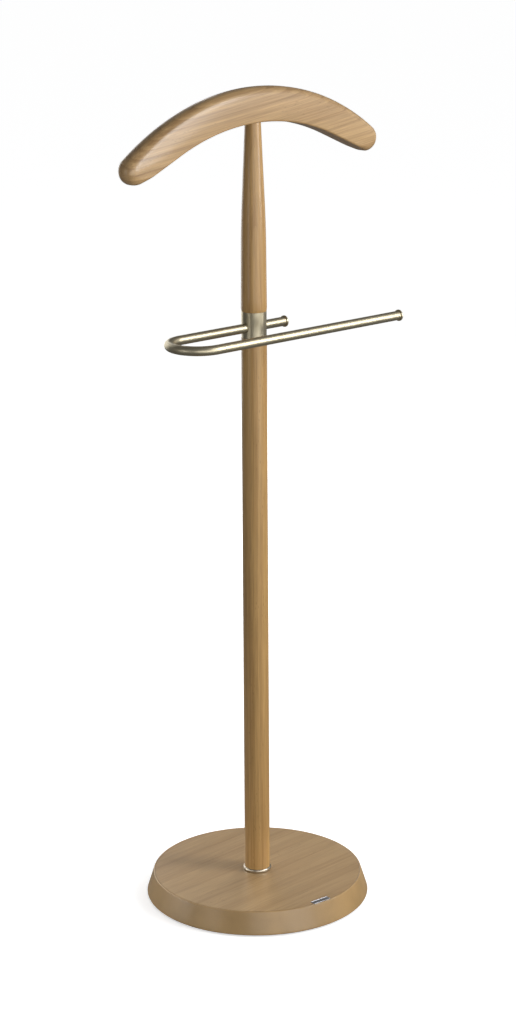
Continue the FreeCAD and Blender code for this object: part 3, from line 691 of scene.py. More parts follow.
def rail_place(across=0.0, deep=0.0, height=0.0):
    """The rail's own frame: X along its legs, turned about the post, at the rail's height."""
    sizes = bpy.context.scene.valet_rail
    low, high = corners("trouser_rail")
    middle = (low.z + high.z) / 2
    turn = Matrix.Rotation(sizes.turn, 4, "Z")
    return turn @ Matrix.Translation((across, deep, middle + height))


# ---------------------------------------------------------------- geometry node trees


def node_tree(name, inputs):
    """A geometry node tree with a geometry input, named value inputs and a material input."""
    tree = bpy.data.node_groups.new(name, "GeometryNodeTree")
    tree.interface.new_socket(name="Geometry", in_out="INPUT", socket_type="NodeSocketGeometry")
    for label, kind in inputs:
        tree.interface.new_socket(name=label, in_out="INPUT", socket_type=kind)
    tree.interface.new_socket(name="Material", in_out="INPUT", socket_type="NodeSocketMaterial")
    tree.interface.new_socket(name="Geometry", in_out="OUTPUT", socket_type="NodeSocketGeometry")
    source = tree.nodes.new("NodeGroupInput")
    target = tree.nodes.new("NodeGroupOutput")
    return tree, source, target


def finish_tree(tree, source, target, geometry):
    """End a tree in realized instances, smooth faces and its material."""
    realize = tree.nodes.new("GeometryNodeRealizeInstances")
    paint = tree.nodes.new("GeometryNodeSetMaterial")
    tree.links.new(geometry, realize.inputs["Geometry"])
    tree.links.new(realize.outputs["Geometry"], paint.inputs["Geometry"])
    tree.links.new(source.outputs["Material"], paint.inputs["Material"])
    tree.links.new(paint.outputs["Geometry"], target.inputs["Geometry"])


def run_tree(host, tree, name, material, **settings):
    """Run a tree on a host object and return its result as a plain piece."""
    modifier = host.modifiers.new(tree.name, "NODES")
    modifier.node_group = tree
    identifiers = {item.name: item.identifier for item in tree.interface.items_tree
                   if item.item_type == "SOCKET" and item.in_out == "INPUT"}
    for label, setting in settings.items():
        modifier[identifiers[label.replace("_", " ").capitalize()]] = setting
    modifier[identifiers["Material"]] = material
    piece = evaluated_copy(host, name, material)
    shade_crisply(piece.data)
    return piece


def bent_tube_tree():
    """A tube along a path whose square corners are filleted to one bend."""
    tree, source, target = node_tree("bent_tube", [
        ("Bend radius", "NodeSocketFloat"),
        ("Tube radius", "NodeSocketFloat"),
        ("Bend steps", "NodeSocketInt"),
        ("Tube steps", "NodeSocketInt"),
    ])
    link = tree.links.new
    to_curve = tree.nodes.new("GeometryNodeMeshToCurve")
    fillet = tree.nodes.new("GeometryNodeFilletCurve")
    fillet.mode = "POLY"
    section = tree.nodes.new("GeometryNodeCurvePrimitiveCircle")
    to_mesh = tree.nodes.new("GeometryNodeCurveToMesh")
    to_mesh.inputs["Fill Caps"].default_value = True
    link(source.outputs["Geometry"], to_curve.inputs["Mesh"])
    link(to_curve.outputs["Curve"], fillet.inputs["Curve"])
    link(source.outputs["Bend radius"], fillet.inputs["Radius"])
    link(source.outputs["Bend steps"], fillet.inputs["Count"])
    link(source.outputs["Tube radius"], section.inputs["Radius"])
    link(source.outputs["Tube steps"], section.inputs["Resolution"])
    link(fillet.outputs["Curve"], to_mesh.inputs["Curve"])
    link(section.outputs["Curve"], to_mesh.inputs["Profile Curve"])
    finish_tree(tree, source, target, to_mesh.outputs["Mesh"])
    return tree


def ring_tree():
    """Copies of a piece set round a circle, each turned by a random angle from a fixed seed."""
    tree, source, target = node_tree("ring_of_pieces", [
        ("Count", "NodeSocketInt"),
        ("Circle radius", "NodeSocketFloat"),
        ("Height", "NodeSocketFloat"),
        ("Seed", "NodeSocketInt"),
    ])
    link = tree.links.new
    circle = tree.nodes.new("GeometryNodeMeshCircle")
    raise_up = tree.nodes.new("GeometryNodeSetPosition")
    offset = tree.nodes.new("ShaderNodeCombineXYZ")
    instances = tree.nodes.new("GeometryNodeInstanceOnPoints")
    random_turn = tree.nodes.new("FunctionNodeRandomValue")
    random_turn.data_type = "FLOAT_VECTOR"
    random_turn.inputs[0].default_value = (0.0, 0.0, 0.0)
    random_turn.inputs[1].default_value = (0.0, 0.0, math.tau)
    link(source.outputs["Count"], circle.inputs["Vertices"])
    link(source.outputs["Circle radius"], circle.inputs["Radius"])
    link(source.outputs["Height"], offset.inputs["Z"])
    link(circle.outputs["Mesh"], raise_up.inputs["Geometry"])
    link(offset.outputs["Vector"], raise_up.inputs["Offset"])
    link(raise_up.outputs["Geometry"], instances.inputs["Points"])
    link(source.outputs["Geometry"], instances.inputs["Instance"])
    seed_input = next(socket for socket in random_turn.inputs if socket.name == "Seed")
    link(source.outputs["Seed"], seed_input)
    link(random_turn.outputs[0], instances.inputs["Rotation"])
    finish_tree(tree, source, target, instances.outputs["Instances"])
    return tree


# ---------------------------------------------------------------- the pieces


def hanger_outline():
    """Half of the hanger's outline from the crown to the middle of the underside.

    Each entry is (place, outward normal, edge round), all in the plane of the hanger's face.
    """
    sizes = bpy.context.scene.valet_hanger
    high = corners("hanger")[1]
    tip_x = high.x - sizes.tip_round
    top_centre = high.z - sizes.top_arc
    tip_z = top_centre + math.sqrt((sizes.top_arc - sizes.tip_round) ** 2 - tip_x**2)
    under = corners("upper_post")[1].z - HANGER_SEAT
    under_centre = under - sizes.under_arc
    lean = math.asin(tip_x / (sizes.top_arc - sizes.tip_round))
    to_tip = math.hypot(tip_x, tip_z - under_centre)
    leave = math.atan2(tip_x, tip_z - under_centre)
    leave -= math.acos((sizes.under_arc + sizes.tip_round) / to_tip)

    def edge_at(past_tip):
        """The edge round at a distance past the end of the tip."""
        share = (past_tip + sizes.fade_before) / (sizes.fade_before + sizes.fade_after)
        share = min(1.0, max(0.0, share))
        fade = share * share * (3 - 2 * share)
        return sizes.shoulder_round + (sizes.under_round - sizes.shoulder_round) * fade

    outline = []
    for step in range(HANGER_LONG):
        angle = lean * step / HANGER_LONG
        normal = Vector((math.sin(angle), math.cos(angle)))
        outline.append((Vector((0.0, top_centre)) + normal * sizes.top_arc, normal, sizes.shoulder_round))
    tip_turn = math.pi + leave - lean
    for step in range(HANGER_TIP):
        angle = lean + tip_turn * step / HANGER_TIP
        normal = Vector((math.sin(angle), math.cos(angle)))
        edge = edge_at(-tip_turn * sizes.tip_round * (1 - step / HANGER_TIP))
        outline.append((Vector((tip_x, tip_z)) + normal * sizes.tip_round, normal, edge))
    out = Vector((math.sin(leave), math.cos(leave)))
    line_start = Vector((tip_x, tip_z)) - out * sizes.tip_round
    line_end = Vector((0.0, under_centre)) + out * sizes.under_arc
    line_length = (line_end - line_start).length
    for step in range(HANGER_LINE):
        share = step / HANGER_LINE
        outline.append((line_start.lerp(line_end, share), -out, edge_at(line_length * share)))
    under_steps = HANGER_LONG + HANGER_TIP - HANGER_LINE
    for step in range(under_steps + 1):
        angle = leave * (1 - step / under_steps)
        normal = Vector((math.sin(angle), math.cos(angle)))
        outline.append((Vector((0.0, under_centre)) + normal * sizes.under_arc, -normal, sizes.under_round))
    return outline


def make_hanger():
    """The curved board, its edges rounded by amounts that fade round the tips."""
    half = hanger_outline()
    mirrored = [(Vector((-place.x, place.y)), Vector((-normal.x, normal.y)), edge)
                for place, normal, edge in reversed(half[1:-1])]
    loop = half + mirrored
    low, high = corners("hanger")
    half_thickness = (high.y - low.y) / 2
    bm = bmesh.new()
    rings = []
    for place, normal, edge in loop:
        ring = []
        for side in (-1, 1):
            steps = range(EDGE_STEPS + 1) if side < 0 else range(EDGE_STEPS, -1, -1)
            for step in steps:
                angle = math.pi / 2 * step / EDGE_STEPS
                spot = place - normal * (edge * (1 - math.sin(angle)))
                depth = side * (half_thickness - edge * (1 - math.cos(angle)))
                ring.append(bm.verts.new((spot.x, depth, spot.y)))
        rings.append(ring)
    count = len(rings)
    for index in range(count):
        this, following = rings[index], rings[(index + 1) % count]
        for step in range(len(this) - 1):
            bm.faces.new((this[step], this[step + 1], following[step + 1], following[step]))
    half_count = len(half)
    for face_index in (0, -1):
        for mirror in (False, True):
            def vertex(position):
                index = position if not mirror or position in (0, half_count - 1) else count - position
                return rings[index][face_index]
            for step in range(half_count // 2):
                upper, upper_next = vertex(step), vertex(step + 1)
                lower, lower_next = vertex(half_count - 1 - step), vertex(half_count - 2 - step)
                corner_list = [upper, upper_next, lower_next, lower]
                unique = list(dict.fromkeys(corner_list))
                if len(unique) > 2:
                    bm.faces.new(unique)
    mesh = finish_mesh(bm, "hanger_board", sharp=math.radians(50))
    palette = colours()
    wood = beech("hanger_beech", palette.hanger_light, palette.hanger_dark, 0,
                 (0.31, 0.075, 0.90), 0.0075, contrast=1.15, tilt=math.radians(-7),
                 distortion=3.2, coat=0.45, gloss=0.13)
    piece = new_object("hanger_board", mesh, wood)
    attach(piece, "hanger_top")
    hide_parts("hanger")


def upper_post_profile():
    """The turned profile: a chamfered foot, a nearly straight shank, a soft break and a cone."""
    sizes = bpy.context.scene.valet_posts
    low, high = corners("upper_post")
    foot = radius_of("sleeve")
    swell = foot + sizes.swell
    at_break = swell - sizes.break_inset
    top = sizes.top
    foot_z, break_z = low.z + sizes.foot_height, low.z + sizes.break_height
    lower_slope = (at_break - swell) / (break_z - foot_z)
    upper_slope = (top - at_break) / (high.z - break_z)
    start, end = break_z - sizes.break_reach, break_z + sizes.break_reach
    nick = 0.0002
    profile = [(0.0, low.z), (foot - nick, low.z), (foot, low.z + nick), (swell, foot_z)]
    shank_steps = 6
    for step in range(1, shank_steps):
        height = foot_z + (start - foot_z) * step / shank_steps
        profile.append((swell + lower_slope * (height - foot_z), height))
    blend_steps = 12
    for step in range(blend_steps + 1):
        share = step / blend_steps
        height = start + (end - start) * share
        before = at_break + lower_slope * (start - break_z)
        run = (end - start) * share
        radius = before + lower_slope * run + (upper_slope - lower_slope) * run * share / 2
        profile.append((radius, height))
    cone_steps = 6
    for step in range(1, cone_steps + 1):
        height = end + (high.z - end) * step / cone_steps
        profile.append((at_break + upper_slope * (height - break_z), height))
    profile.append((0.0, high.z))
    return profile


def make_posts():
    """The two turned posts, with the grain running up them."""
    palette = colours()
    sizes = bpy.context.scene.valet_posts
    upper_wood = beech("upper_post_beech", palette.post_light, palette.post_dark, 2,
                       (0.045, 0.060, 0.31), 0.0046, contrast=0.9, streaks=0.85)
    lower_wood = beech("lower_post_beech", palette.post_light, palette.post_dark, 2,
                       (-0.050, 0.055, 1.70), 0.0050, contrast=0.9, streaks=0.85)
    upper = turned_piece("upper_post_turned", upper_post_profile(), upper_wood, closed=False)
    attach(upper, "hanger_top")
    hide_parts("upper_post")

    low, high = corners("lower_post")
    radius = radius_of("lower_post")
    length = high.z - sizes.chamfer - low.z
    shaft_steps = 20
    shaft = [(0.0, low.z), (radius, low.z)]
    shaft += [(radius, low.z + length * step / shaft_steps) for step in range(1, shaft_steps + 1)]
    shaft += [(radius - sizes.chamfer, high.z), (0.0, high.z)]
    lower = turned_piece("lower_post_turned", shaft, lower_wood, closed=False)
    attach(lower, "stand")
    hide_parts("lower_post")


def rail_hole_lips(hole, outer):
    """A bmesh of the rolled lips round the sleeve's two rail holes."""
    lip = 0.00042
    lip_steps = 64
    section_steps = 10
    bm = bmesh.new()
    for side in (-1, 1):
        loops = []
        for step in range(lip_steps):
            angle = math.tau * step / lip_steps
            across = (hole + lip * 0.4) * math.cos(angle)
            up = (hole + lip * 0.4) * math.sin(angle)
            spot = Vector((side * math.sqrt(outer**2 - across**2), across, up))
            radial = Vector((0.0, across, up)).normalized()
            outward = Vector((spot.x, spot.y, 0.0)).normalized()
            loop = []
            for part in range(section_steps):
                turn = math.tau * part / section_steps
                edge = radial * (lip * math.cos(turn)) + outward * (lip * math.sin(turn))
                loop.append(bm.verts.new(spot + edge))
            loops.append(loop)
        for step in range(lip_steps):
            this, following = loops[step], loops[(step + 1) % lip_steps]
            for part in range(section_steps):
                other = (part + 1) % section_steps
                bm.faces.new((this[part], this[other], following[other], following[part]))
    return bm


def rod(name, radius, start, end, material, place, steps):
    """A plain rod along the Z axis of its place, for cutting holes."""
    profile = [(0.0, start), (radius, start), (radius, end), (0.0, end)]
    return turned_piece(name, profile, material, place=place, steps=steps, closed=False)


def make_sleeve():
    """The sleeve with its two rail holes, each with a rolled lip, and the set screw's hole."""
    low, high = corners("sleeve")
    rail = bpy.context.scene.valet_rail
    outer = radius_of("sleeve")
    inner = radius_of("sleeve_core") + CLEARANCE
    edge = 0.00025
    rows = 12
    profile = [(inner, low.z + edge), (inner + edge, low.z), (outer - edge, low.z)]
    profile += [(outer, low.z + edge + (high.z - low.z - 2 * edge) * row / rows)
                for row in range(rows + 1)]
    profile += [(outer - edge, high.z), (inner + edge, high.z), (inner, high.z - edge)]
    nickel = metal("champagne_nickel_sleeve", colours().champagne, 0.38, brush=(1.0, 1.0, 25.0))
    piece = turned_piece("sleeve_tube", profile, nickel, steps=160,
                         place=Matrix.Rotation(rail.turn, 4, "Z"))
    hole = rail.tube + 0.00012
    screw_hole = 0.00255
    past_wall = 0.03
    along_rail = rail_place() @ Matrix.Rotation(math.pi / 2, 4, "Y")
    to_back = rail_place() @ Matrix.Rotation(-math.pi / 2, 4, "X")
    piece = cut(piece, rod("rail_bore", hole, -past_wall, past_wall, nickel, along_rail, 64))
    piece = cut(piece, rod("screw_bore", screw_hole, 0.008, past_wall, nickel, to_back, 32))
    bm = rail_hole_lips(hole, outer)
    bm.transform(rail_place())
    lips = new_object("rail_hole_lips", finish_mesh(bm, "rail_hole_lips"), nickel)
    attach(piece, "rail_collar")
    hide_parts("sleeve")
    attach(lips, "rail_collar")


def make_rail():
    """The bent tube, swept along its filleted path."""
    sizes = bpy.context.scene.valet_rail
    far = -(sizes.bend + sizes.gap / 2)
    path = [(sizes.stub, 0.0), (far, 0.0), (far, -sizes.gap), (sizes.reach, -sizes.gap)]
    mesh = bpy.data.meshes.new("rail_path")
    mesh.from_pydata([(x, y, 0.0) for x, y in path], [(0, 1), (1, 2), (2, 3)], [])
    mesh.transform(rail_place())
    host = bpy.data.objects.new("rail_path", mesh)
    bpy.context.scene.collection.objects.link(host)
    nickel = metal("champagne_nickel_rail", colours().champagne, 0.42, brush=(20.0, 1.0, 1.0))
    piece = run_tree(host, bent_tube_tree(), "rail_tube", nickel, bend_radius=sizes.gap / 2 * 0.9999,
                     tube_radius=sizes.tube, bend_steps=BEND_STEPS, tube_steps=TUBE_STEPS)
    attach(piece, "rail_collar")
    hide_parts("trouser_rail")


def make_rail_caps():
    """The two flanged caps, each with a turned neck and a domed face."""
    sizes = bpy.context.scene.valet_rail
    tube, thick = sizes.tube, sizes.cap_thickness
    outer = tube + sizes.cap_lip
    neck = tube - sizes.wall - CLEARANCE
    neck_end = -0.009
    chamfer = 0.0005
    back_round, front_round = 0.00045, 0.0009
    dome, dome_steps = 0.00045, 8
    profile = [
        (0.0, neck_end),
        (neck + CLEARANCE - chamfer, neck_end),
        (neck, neck_end + chamfer),
        (neck, 0.0),
        (tube + 0.00015, 0.0),
        *arc_points((outer - back_round, back_round), back_round, -90, 0, 4),
        *arc_points((outer - front_round, thick - front_round), front_round, 0, 78, 8),
    ]
    edge_radius, edge_height = profile[-1]
    for step in range(1, dome_steps + 1):
        left = 1 - step / dome_steps
        profile.append((edge_radius * left, edge_height + dome * (1 - left**2)))
    nickel = metal("champagne_nickel_caps", colours().champagne, 0.38)
    for name, node, along, across in (
        ("rail_cap_stub", "rail_cap_short", sizes.stub, 0.0),
        ("rail_cap_front", "rail_cap_long", sizes.reach, -sizes.gap),
    ):
        place = rail_place(along, across) @ Matrix.Rotation(math.pi / 2, 4, "Y")
        piece = turned_piece(name, profile, nickel, place=place, steps=72, closed=False)
        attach(piece, "rail_collar")
        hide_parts(node)


def make_foot_ring():
    """The bright ring round the foot of the post, a half-round bead with a thin foot."""
    low, high = corners("foot_ring")
    outer = radius_of("foot_ring")
    inner = radius_of("lower_post") + CLEARANCE
    width, height = outer - inner, high.z - low.z
    # Shares of the ring's width and height: its flat foot, the start of the bead's curve, the middle
    # of the bead, and how full its curve is.
    foot_share, start_share, middle_share, fullness = 0.55, 0.42, 0.48, 0.75
    bead_steps = 16
    profile = [(inner, low.z), (inner + width * foot_share, low.z)]
    for step in range(bead_steps + 1):
        angle = math.pi * (step / bead_steps - start_share) / 1.08
        profile.append((inner + width * max(0.0, math.cos(angle)) ** fullness,
                        low.z + height * (middle_share + (1 - middle_share) * math.sin(angle))))
    piece = turned_piece("foot_ring_bead", profile, metal("bright_nickel", colours().bright_nickel, 0.34))
    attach(piece, "stand")
    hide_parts("foot_ring")


def make_base():
    """The lacquered board with its beaded rim and its recess, and the veneer let into it."""
    sizes = bpy.context.scene.valet_base
    palette = colours()
    low, high = corners("base_board")
    foot = sizes.foot
    top = foot - sizes.flare
    thickness = high.z - low.z
    slope = math.degrees(math.atan2(sizes.flare, thickness))
    veneer_radius = radius_of("base_veneer")
    veneer_foot = corners("base_veneer")[0].z
    socket = radius_of("lower_post") + CLEARANCE
    recess = radius_of("ballast_plate") + 0.001
    bolt_hole = 0.0045
    bead = sizes.rim_round
    bead_centre = (top - bead * 1.12, high.z - bead)
    edge = sizes.edge_round
    edge_centre = (foot - edge * 1.42, low.z + edge)
    side_start = arc_points(edge_centre, edge, -90, slope, 6)
    side_end = arc_points(bead_centre, bead, slope, 118, 10)
    profile = [(recess, low.z), *side_start]
    first, last = Vector(side_start[-1]), Vector(side_end[0])
    profile += [tuple(first.lerp(last, step / 8)) for step in range(1, 8)]
    profile += side_end
    profile += [
        (veneer_radius + 0.0002, high.z - 0.00035),
        (veneer_radius + 0.00015, veneer_foot),
        (socket, veneer_foot),
        (socket, high.z - sizes.seat),
        (bolt_hole, high.z - sizes.seat),
        (bolt_hole, low.z + sizes.recess),
        (recess, low.z + sizes.recess),
    ]
    lacquer = coloured_lacquer("board_lacquer", palette.lacquer)
    board = turned_piece("base_board_lacquered", profile, lacquer, steps=BASE_STEPS)
    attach(board, "stand")
    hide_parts("base_board")

    edge = 0.00018
    sheet_top = corners("base_veneer")[1].z
    reach = veneer_radius - edge
    rows = [reach + (socket - reach) * step / 10 for step in range(11)]
    sheet = [(socket, veneer_foot), (veneer_radius, veneer_foot), (veneer_radius, sheet_top - edge)]
    sheet += [(radius, sheet_top) for radius in rows]
    wood = beech("veneer_beech", palette.veneer_light, palette.veneer_dark, 0,
                 (0.77, 0.21, -0.03), 0.034, contrast=0.9, coat=0.45, roughness=0.40,
                 distortion=9.0, streaks=0.6)
    veneer = turned_piece("base_veneer_sheet", sheet, wood, steps=BASE_STEPS)
    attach(veneer, "stand")
    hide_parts("base_veneer")


def rounded_rectangle(width, height, corner, steps=6):
    """The points of a rectangle with round corners, about its own centre."""
    points = []
    for quarter, (side_x, side_y) in enumerate(((1, 1), (-1, 1), (-1, -1), (1, -1))):
        centre = Vector((side_x * (width / 2 - corner), side_y * (height / 2 - corner)))
        for step in range(steps + 1):
            angle = math.pi / 2 * (quarter + step / steps)
            points.append(centre + Vector((math.cos(angle), math.sin(angle))) * corner)
    return points


def make_badge():
    """The blank badge plate: a bevelled edge, a raised border and a sunk, plain panel."""
    sizes = bpy.context.scene.valet_badge
    low, high = corners("badge_plate")
    distance = ((low + high) / 2).xy.length
    # Outlines from the foot up: how far in, at what height, and with what corner.
    levels = (
        (0.0, low.z, 0.0015),
        (0.0, high.z - 0.00018, 0.0015),
        (0.00018, high.z, 0.0013),
        (0.00085, high.z, 0.0009),
        (0.00100, high.z - 0.00022, 0.0008),
    )
    bm = bmesh.new()
    loops = []
    for inset, level, corner in levels:
        outline = rounded_rectangle(sizes.length - 2 * inset, sizes.height - 2 * inset, corner)
        loops.append([bm.verts.new((spot.x, spot.y - distance, level)) for spot in outline])
    for lower, upper in zip(loops, loops[1:]):
        for index in range(len(lower)):
            following = (index + 1) % len(lower)
            bm.faces.new((lower[index], lower[following], upper[following], upper[index]))
    bm.faces.new(loops[0])
    bm.faces.new(loops[-1])
    bm.transform(Matrix.Rotation(sizes.turn, 4, "Z"))
    piece = new_object("badge_blank", finish_mesh(bm, "badge_blank", sharp=math.radians(20)),
                       brushed_plate("badge_satin", SATIN_STEEL))
    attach(piece, "stand")
    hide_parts("badge_plate")


def make_felt_pads():
    """The ring of felt pads, each softened at its edge."""
    sizes = bpy.context.scene.valet_base
    low, high = corners("felt_pads")
    profile = rounded_disc(sizes.pad, 0.0, high.z - low.z, 0.0006)
    material = felt("pad_felt", colours().felt)
    host = turned_piece("felt_pad", profile, material, steps=48, closed=False)
    piece = run_tree(host, ring_tree(), "felt_pad_ring", material, count=sizes.pads,
                     circle_radius=sizes.foot - sizes.pad_inset, height=low.z, seed=3)
    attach(piece, "stand")
    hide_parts("felt_pads")


def screw_profile(head_height, length):
    """The turned profile of a countersunk screw with its head down: head, threads and point."""
    head, shank = 0.004, 0.002
    core = shank * 0.72
    point = 0.003
    pitch = 0.0016
    profile = [(0.0, 0.0), (head * 0.55, 0.0), (head * 0.85, head_height * 0.22),
               (head, head_height * 0.6), (head, head_height), (shank, head_height)]
    for turn in range(int((length - head_height - point) / pitch)):
        start = head_height + pitch * turn
        profile += [(shank, start + pitch * 0.4), (core, start + pitch * 0.9)]
    return [*profile, (core, length - point), (0.0, length)]


def make_ballast():
    """The powder-coated ballast plate and its ring of cross-head screws."""
    sizes = bpy.context.scene.valet_base
    low, high = corners("ballast_plate")
    outer = radius_of("ballast_plate")
    eye = 0.018
    profile = rounded_ring(eye, outer, low.z, high.z, 0.0008)
    plate = turned_piece("ballast_disc", profile, powder_coat("black_powder_coat", BLACK_COAT))
    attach(plate, "stand")
    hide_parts("ballast_plate")

    screw_low, screw_high = corners("ballast_screws")
    zinc = metal("zinc_plated_screws", ZINC, 0.32)
    profile = screw_profile(low.z - screw_low.z, screw_high.z - screw_low.z)
    host = turned_piece("ballast_screw", profile, zinc, steps=32, closed=False)
    slot_size = (0.0042, 0.0009, 0.0026)
    for turn in (0.0, math.pi / 2):
        bm = bmesh.new()
        bmesh.ops.create_cube(bm, size=1.0)
        bm.transform(Matrix.Rotation(turn, 4, "Z") @ Matrix.Diagonal((*slot_size, 1.0)))
        mesh = bpy.data.meshes.new("cross_slot")
        bm.to_mesh(mesh)
        bm.free()
        host = cut(host, new_object("cross_slot", mesh, zinc))
    piece = run_tree(host, ring_tree(), "ballast_screw_ring", zinc, count=sizes.screws,
                     circle_radius=outer - sizes.screw_inset, height=screw_low.z, seed=11)
    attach(piece, "stand")
    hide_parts("ballast_screws")


def make_base_bolt():
    """The hexagon bolt, its corners turned off, and its washer."""
    low, high = corners("base_bolt")
    flats = high.x - low.x
    head_height = corners("base_washer")[0].z - low.z
    zinc = metal("zinc_plated_bolt", ZINC, 0.30)
    shank, chamfer = 0.004, 0.001
    half = flats / 2
    corner = flats / math.sqrt(3)
    top = low.z + head_height
    profile = [(0.0, low.z), (half * 0.98, low.z), (corner, low.z + 0.0011), (corner, top - 0.0004),
               (half * 0.98, top), (shank, top), (shank, high.z - chamfer),
               (shank - chamfer, high.z), (0.0, high.z)]
    bm = lathe(profile, steps=96, closed=False)
    for vertex in bm.verts:
        if vertex.co.z > top + 1e-6:
            continue
        reach = math.hypot(vertex.co.x, vertex.co.y)
        if reach < half * 0.99:
            continue
        angle = math.atan2(vertex.co.y, vertex.co.x)
        off_flat = (angle + math.pi / 6) % (math.pi / 3) - math.pi / 6
        limit = min(reach, half / math.cos(off_flat))
        vertex.co.x, vertex.co.y = limit * math.cos(angle), limit * math.sin(angle)
    mesh = finish_mesh(bm, "base_bolt_hexagon", sharp=math.radians(25))
    bolt = new_object("base_bolt_hexagon", mesh, zinc)
    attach(bolt, "stand")
    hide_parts("base_bolt")

    low, high = corners("base_washer")
    hole = 0.00425
    profile = rounded_ring(hole, radius_of("base_washer"), low.z, high.z, 0.0003, steps=3)
    washer = turned_piece("base_washer_disc", profile, zinc, steps=96)
    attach(washer, "stand")
    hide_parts("base_washer")


def paint_hidden_pieces():
    """Give the frame's own hidden pieces their finishes."""
    zinc = metal("zinc_plated_hardware", ZINC, 0.32)
    brass = knurled("insert_brass", BRASS)
    cast = knurled("cast_zinc", CAST_ZINC)
    washers = nylon("friction_nylon")
    finishes = {
        "hanger_dowel": raw_beech("dowel_beech"),
        "upper_post_insert": brass,
        "post_top_insert": brass,
        "post_foot_insert": brass,
        "sleeve_core": cast,
        "sleeve_plug": cast,
        "upper_pivot_screw": zinc,
        "lower_pivot_screw": zinc,
        "rail_set_screw": metal("blackened_set_screw", BLACK_STEEL, 0.35),
        "upper_friction_washer": washers,
        "lower_friction_washer": washers,
    }
    for node, material in finishes.items():
        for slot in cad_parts[node].material_slots:
            slot.material = material


# ---------------------------------------------------------------- the stage


def make_camera():
    """The camera, set from its place and its angles."""
    stage = bpy.context.scene.valet_stage
    data = bpy.data.cameras.new("camera")
    data.lens = stage.lens
    data.sensor_width = 36.0
    data.shift_y = stage.rise
    camera = bpy.data.objects.new("camera", data)
    bpy.context.scene.collection.objects.link(camera)
    bpy.context.scene.camera = camera
    level = math.cos(stage.elevation)
    back = Vector((math.sin(stage.azimuth) * level, -math.cos(stage.azimuth) * level,
                   math.sin(stage.elevation)))
    right = Vector((0.0, 0.0, 1.0)).cross(back).normalized()
    up = back.cross(right)
    turn = Matrix.Rotation(stage.roll, 3, back)
    axes = Matrix((turn @ right, turn @ up, back)).transposed()
    camera.matrix_world = Matrix.Translation(Vector(stage.camera_place)) @ axes.to_4x4()


def area_light(name, power, width, height, place, target):
    """A rectangular softbox that faces a target."""
    data = bpy.data.lights.new(name, "AREA")
    data.shape = "RECTANGLE"
    data.size = width
    data.size_y = height
    data.energy = power
    light = bpy.data.objects.new(name, data)
    bpy.context.scene.collection.objects.link(light)
    light.location = place
    light.rotation_mode = "QUATERNION"
    light.rotation_quaternion = (Vector(target) - Vector(place)).to_track_quat("-Z", "Y")
    return light


def seen_from_camera(right, towards, up):
    """A place given as distances to the camera's right, towards the camera and up from the floor."""
    azimuth = bpy.context.scene.valet_stage.azimuth
    right_axis = Vector((math.cos(azimuth), math.sin(azimuth), 0.0))
    back_axis = Vector((math.sin(azimuth), -math.cos(azimuth), 0.0))
    return right_axis * right + back_axis * towards + Vector((0.0, 0.0, up))


def make_world():
    """Even surroundings: a soft grey room that looks pale where the camera sees it."""
    stage = bpy.context.scene.valet_stage
    world = bpy.data.worlds.new("studio")
    world.use_nodes = True
    tree = world.node_tree
    tree.nodes.clear()
    output = tree.nodes.new("ShaderNodeOutputWorld")
    light_path = tree.nodes.new("ShaderNodeLightPath")
    blend = tree.nodes.new("ShaderNodeMixShader")
    room = tree.nodes.new("ShaderNodeBackground")
    seen = tree.nodes.new("ShaderNodeBackground")
    room.inputs["Color"].default_value = (0.98, 0.99, 1.0, 1.0)
    room.inputs["Strength"].default_value = stage.sky
    seen.inputs["Color"].default_value = (0.95, 0.95, 0.95, 1.0)
    seen.inputs["Strength"].default_value = 1.0
    tree.links.new(light_path.outputs["Is Camera Ray"], blend.inputs["Fac"])
    tree.links.new(room.outputs["Background"], blend.inputs[1])
    tree.links.new(seen.outputs["Background"], blend.inputs[2])
    tree.links.new(blend.outputs["Shader"], output.inputs["Surface"])
    bpy.context.scene.world = world


def make_floor():
    """A wide pale floor that lights nothing and isn't reflected."""
    stage = bpy.context.scene.valet_stage
    bm = bmesh.new()
    bmesh.ops.create_circle(bm, cap_ends=True, radius=FLOOR_RADIUS, segments=96)
    mesh = bpy.data.meshes.new("floor")
    bm.to_mesh(mesh)
    bm.free()
    floor = new_object("floor", mesh, floor_paint("floor_paint", stage.floor, stage.floor_glow))
    floor.visible_glossy = False
    floor.visible_diffuse = False


def make_stage():
    """The camera, the floor, the world and the softboxes."""
    stage = bpy.context.scene.valet_stage
    bpy.context.scene.view_settings.view_transform = "Standard"
    make_camera()
    make_world()
    make_floor()
    for name, azimuth, elevation, distance, width, height, power in SOFTBOXES:
        azimuth, elevation = math.radians(azimuth), math.radians(elevation)
        level = distance * math.cos(elevation)
        place = seen_from_camera(level * math.sin(azimuth), level * math.cos(azimuth),
                                 SOFTBOX_AIM + distance * math.sin(elevation))
        light = area_light(name, power * stage.power, width, height, place, (0.0, 0.0, SOFTBOX_AIM))
        light.visible_glossy = name != MATT_SOFTBOX
    bounce = area_light("bounce_card", BOUNCE_POWER * stage.power, *BOUNCE_SIZE,
                        seen_from_camera(*BOUNCE_PLACE), seen_from_camera(*BOUNCE_TARGET))
    bounce.data.spread = BOUNCE_SPREAD


# ---------------------------------------------------------------- operators and panel


class VALET_OT_stage(bpy.types.Operator):
    """Set the camera, the lights and the floor"""
    bl_idname = "valet.stage"
    bl_label = "Stage"

    def execute(self, context):
        make_stage()
        return {"FINISHED"}


class VALET_OT_hanger(bpy.types.Operator):
    """Build the curved hanger"""
    bl_idname = "valet.hanger"
    bl_label = "Hanger"

    def execute(self, context):
        make_hanger()
        return {"FINISHED"}


class VALET_OT_posts(bpy.types.Operator):
    """Build the two turned posts"""
    bl_idname = "valet.posts"
    bl_label = "Posts"

    def execute(self, context):
        make_posts()
        return {"FINISHED"}


